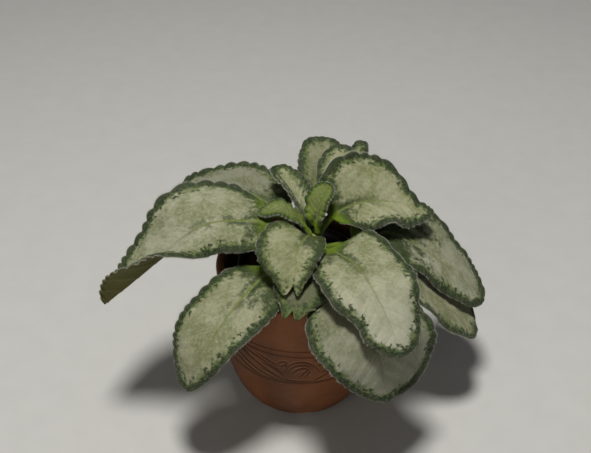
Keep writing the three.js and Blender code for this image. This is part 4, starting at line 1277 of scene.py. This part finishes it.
# Darker streaks of painted shade between the lit ones.
lay_over(ramp(lying_hair, 0.50, 0.27, 0, 0.26), (0.085, 0.105, 0.040))
stalk_color = mix(mottle, (0.070, 0.130, 0.002), (0.165, 0.235, 0.012))
lay_over(ramp(attribute("on_blade"), 0.75, 0.1), stalk_color)
olive = mix(mottle, (0.095, 0.095, 0.024), (0.150, 0.145, 0.045))
olive = mix(ramp(attribute("vein"), 1.0, 0.2, 0, 0.35), olive, (0.17, 0.17, 0.07))
lay_over(ramp(attribute("upper"), 0.45, 0.1), olive)
leaf_bump = leaf_skin.relief(lying_hair, 0.00025, 0.7)
leaf_bump = leaf_skin.relief(noise(1500, detail=3), 0.00014, 0.6, under=leaf_bump)
leaf_material = leaf_skin.use(color=leaf_skin.color, normal=leaf_bump)
for piece, _ in grown.values():
    piece.data.materials.append(leaf_material)

# %% [markdown]
# ## Leaves: hairs
# Stiff pale hairs fringe every edge and stand on stalk and blade; against the dark they draw a light
# line round each leaf. Blender's hair system would be the usual way, but it is lost when a model is
# exported, so each hair is a thin closed spike of four triangles. They are scattered by a seeded
# draw: many along the edge, fewer over the blade by its area. Lengths are in millimetres, a lean is
# towards the tip, and a tangle is how far the ways of neighbours differ.

# %% Shape of the hairs
HAIRS_A_MM = 9
HAIRS_A_CM2 = 110
HAIR_RADIUS = 0.032
CM2_A_M2 = 1e4
EDGE_HAIR = (0.6, 1.25)
BLADE_HAIR = (0.4, 0.8)
EDGE_LEAN = 0.55
BLADE_LEAN = 0.9
EDGE_TILT = 0.5
EDGE_TANGLE = 0.22
BLADE_TANGLE = 0.3
print("hairs along a centimetre of edge:", 10 * HAIRS_A_MM)


def spikes(roots, ways, lengths, radius):
    """Closed three-sided spikes from roots along ways, all in one set of points and faces."""
    ways = unit(ways)
    first = unit(np.cross(ways, np.where(np.abs(ways[:, 2:]) > 0.9, [[1.0, 0, 0]], [[0, 0, 1.0]])))
    second = np.cross(ways, first)
    corners = np.arange(3) * 2 * math.pi / 3
    ring = [roots + radius * (math.cos(a) * first + math.sin(a) * second) for a in corners]
    points = np.stack([*ring, roots + ways * lengths[:, None]], axis=1).reshape(-1, 3)
    faces = [(k, k + 2, k + 1) for k in range(0, 4 * len(roots), 4)]
    for a, b in ((0, 1), (1, 2), (2, 0)):
        faces += [(k + a, k + b, k + 3) for k in range(0, 4 * len(roots), 4)]
    return points, faces


# %% Scatter the hairs
def edge_hairs(blade, column, inner, draw):
    """Roots, ways and lengths of the hairs along one edge. The inner column tells which way is out."""
    rim = blade["top"][:, column]
    forward = unit(np.gradient(blade["top"], axis=0))[:, column]
    steps = np.linalg.norm(np.diff(rim, axis=0), axis=1) / MM
    walked = np.concatenate([[0], np.cumsum(steps)])
    count = int(walked[-1] * HAIRS_A_MM)
    spot = np.interp(np.sort(draw.uniform(0, walked[-1], count)), walked, np.arange(len(rim)))
    i = np.minimum(spot.astype(int), len(rim) - 2)
    part = (spot - i)[:, None]
    outward = unit(rim - blade["top"][:, inner])
    tilt = blade["normal"][:, column][i] * draw.uniform(-EDGE_TILT, EDGE_TILT, (count, 1))
    way = outward[i] + EDGE_LEAN * forward[i] + tilt
    roots = rim[i] * (1 - part) + rim[i + 1] * part
    return roots, way + draw.normal(0, EDGE_TANGLE, (count, 3)), draw.uniform(*EDGE_HAIR, count)


def blade_hairs(blade, draw):
    """Roots, ways and lengths of the hairs on the upper face, in step with the area of its cells."""
    top, normal = blade["top"], blade["normal"]
    forward = unit(np.gradient(top, axis=0))
    side_up, side_out = top[1:, :-1] - top[:-1, :-1], top[:-1, 1:] - top[:-1, :-1]
    area = np.linalg.norm(np.cross(side_up, side_out), axis=-1)
    count = int(area.sum() * CM2_A_M2 * HAIRS_A_CM2)
    cell = draw.choice(area.size, count, p=(area / area.sum()).ravel())
    i, j = np.divmod(cell, area.shape[1])
    a, b = draw.uniform(0, 1, (2, count, 1))
    roots = top[i, j] + a * side_up[i, j] + b * side_out[i, j]
    ways = normal[i, j] + BLADE_LEAN * forward[i, j] + draw.normal(0, BLADE_TANGLE, (count, 3))
    return roots, ways, draw.uniform(*BLADE_HAIR, count)


def hair_for(leaf, seed):
    """The hairs of one leaf as one piece."""
    draw = np.random.default_rng(100 + seed)
    blade = grown[leaf["name"]][1]
    patches = [edge_hairs(blade, 0, 1, draw), edge_hairs(blade, -1, -2, draw), blade_hairs(blade, draw)]
    roots, ways, lengths = (np.concatenate(values) for values in zip(*patches))
    points, faces = spikes(roots, ways, lengths * MM, HAIR_RADIUS * MM)
    return make_piece(leaf["name"] + "_hairs", points, faces, None, "leaf")


# %% Grow the hairs
hair_finish = Finish("leaf_hair", roughness=0.5, specular=0.3)
hair_shade = hair_finish.mix(hair_finish.noise(300), (0.46, 0.48, 0.37), (0.66, 0.67, 0.56))
hair_material = hair_finish.use(color=hair_shade)
hair_faces = 0
for seed, leaf in enumerate(LEAVES):
    hairs = hair_for(leaf, seed)
    hairs.data.materials.append(hair_material)
    hair_faces += len(hairs.data.polygons)
print("hair faces:", hair_faces)

# %% [markdown]
# ## Compare the sizes
# Dressing a part must not change its size. The box of the plain solids and the box of what is shown
# now are written down side by side.

visual_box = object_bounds()
for name, box in (("solids", cad_box), ("shown", visual_box)):
    print(name, [[round(value / MM, 1) for value in corner] for corner in box])
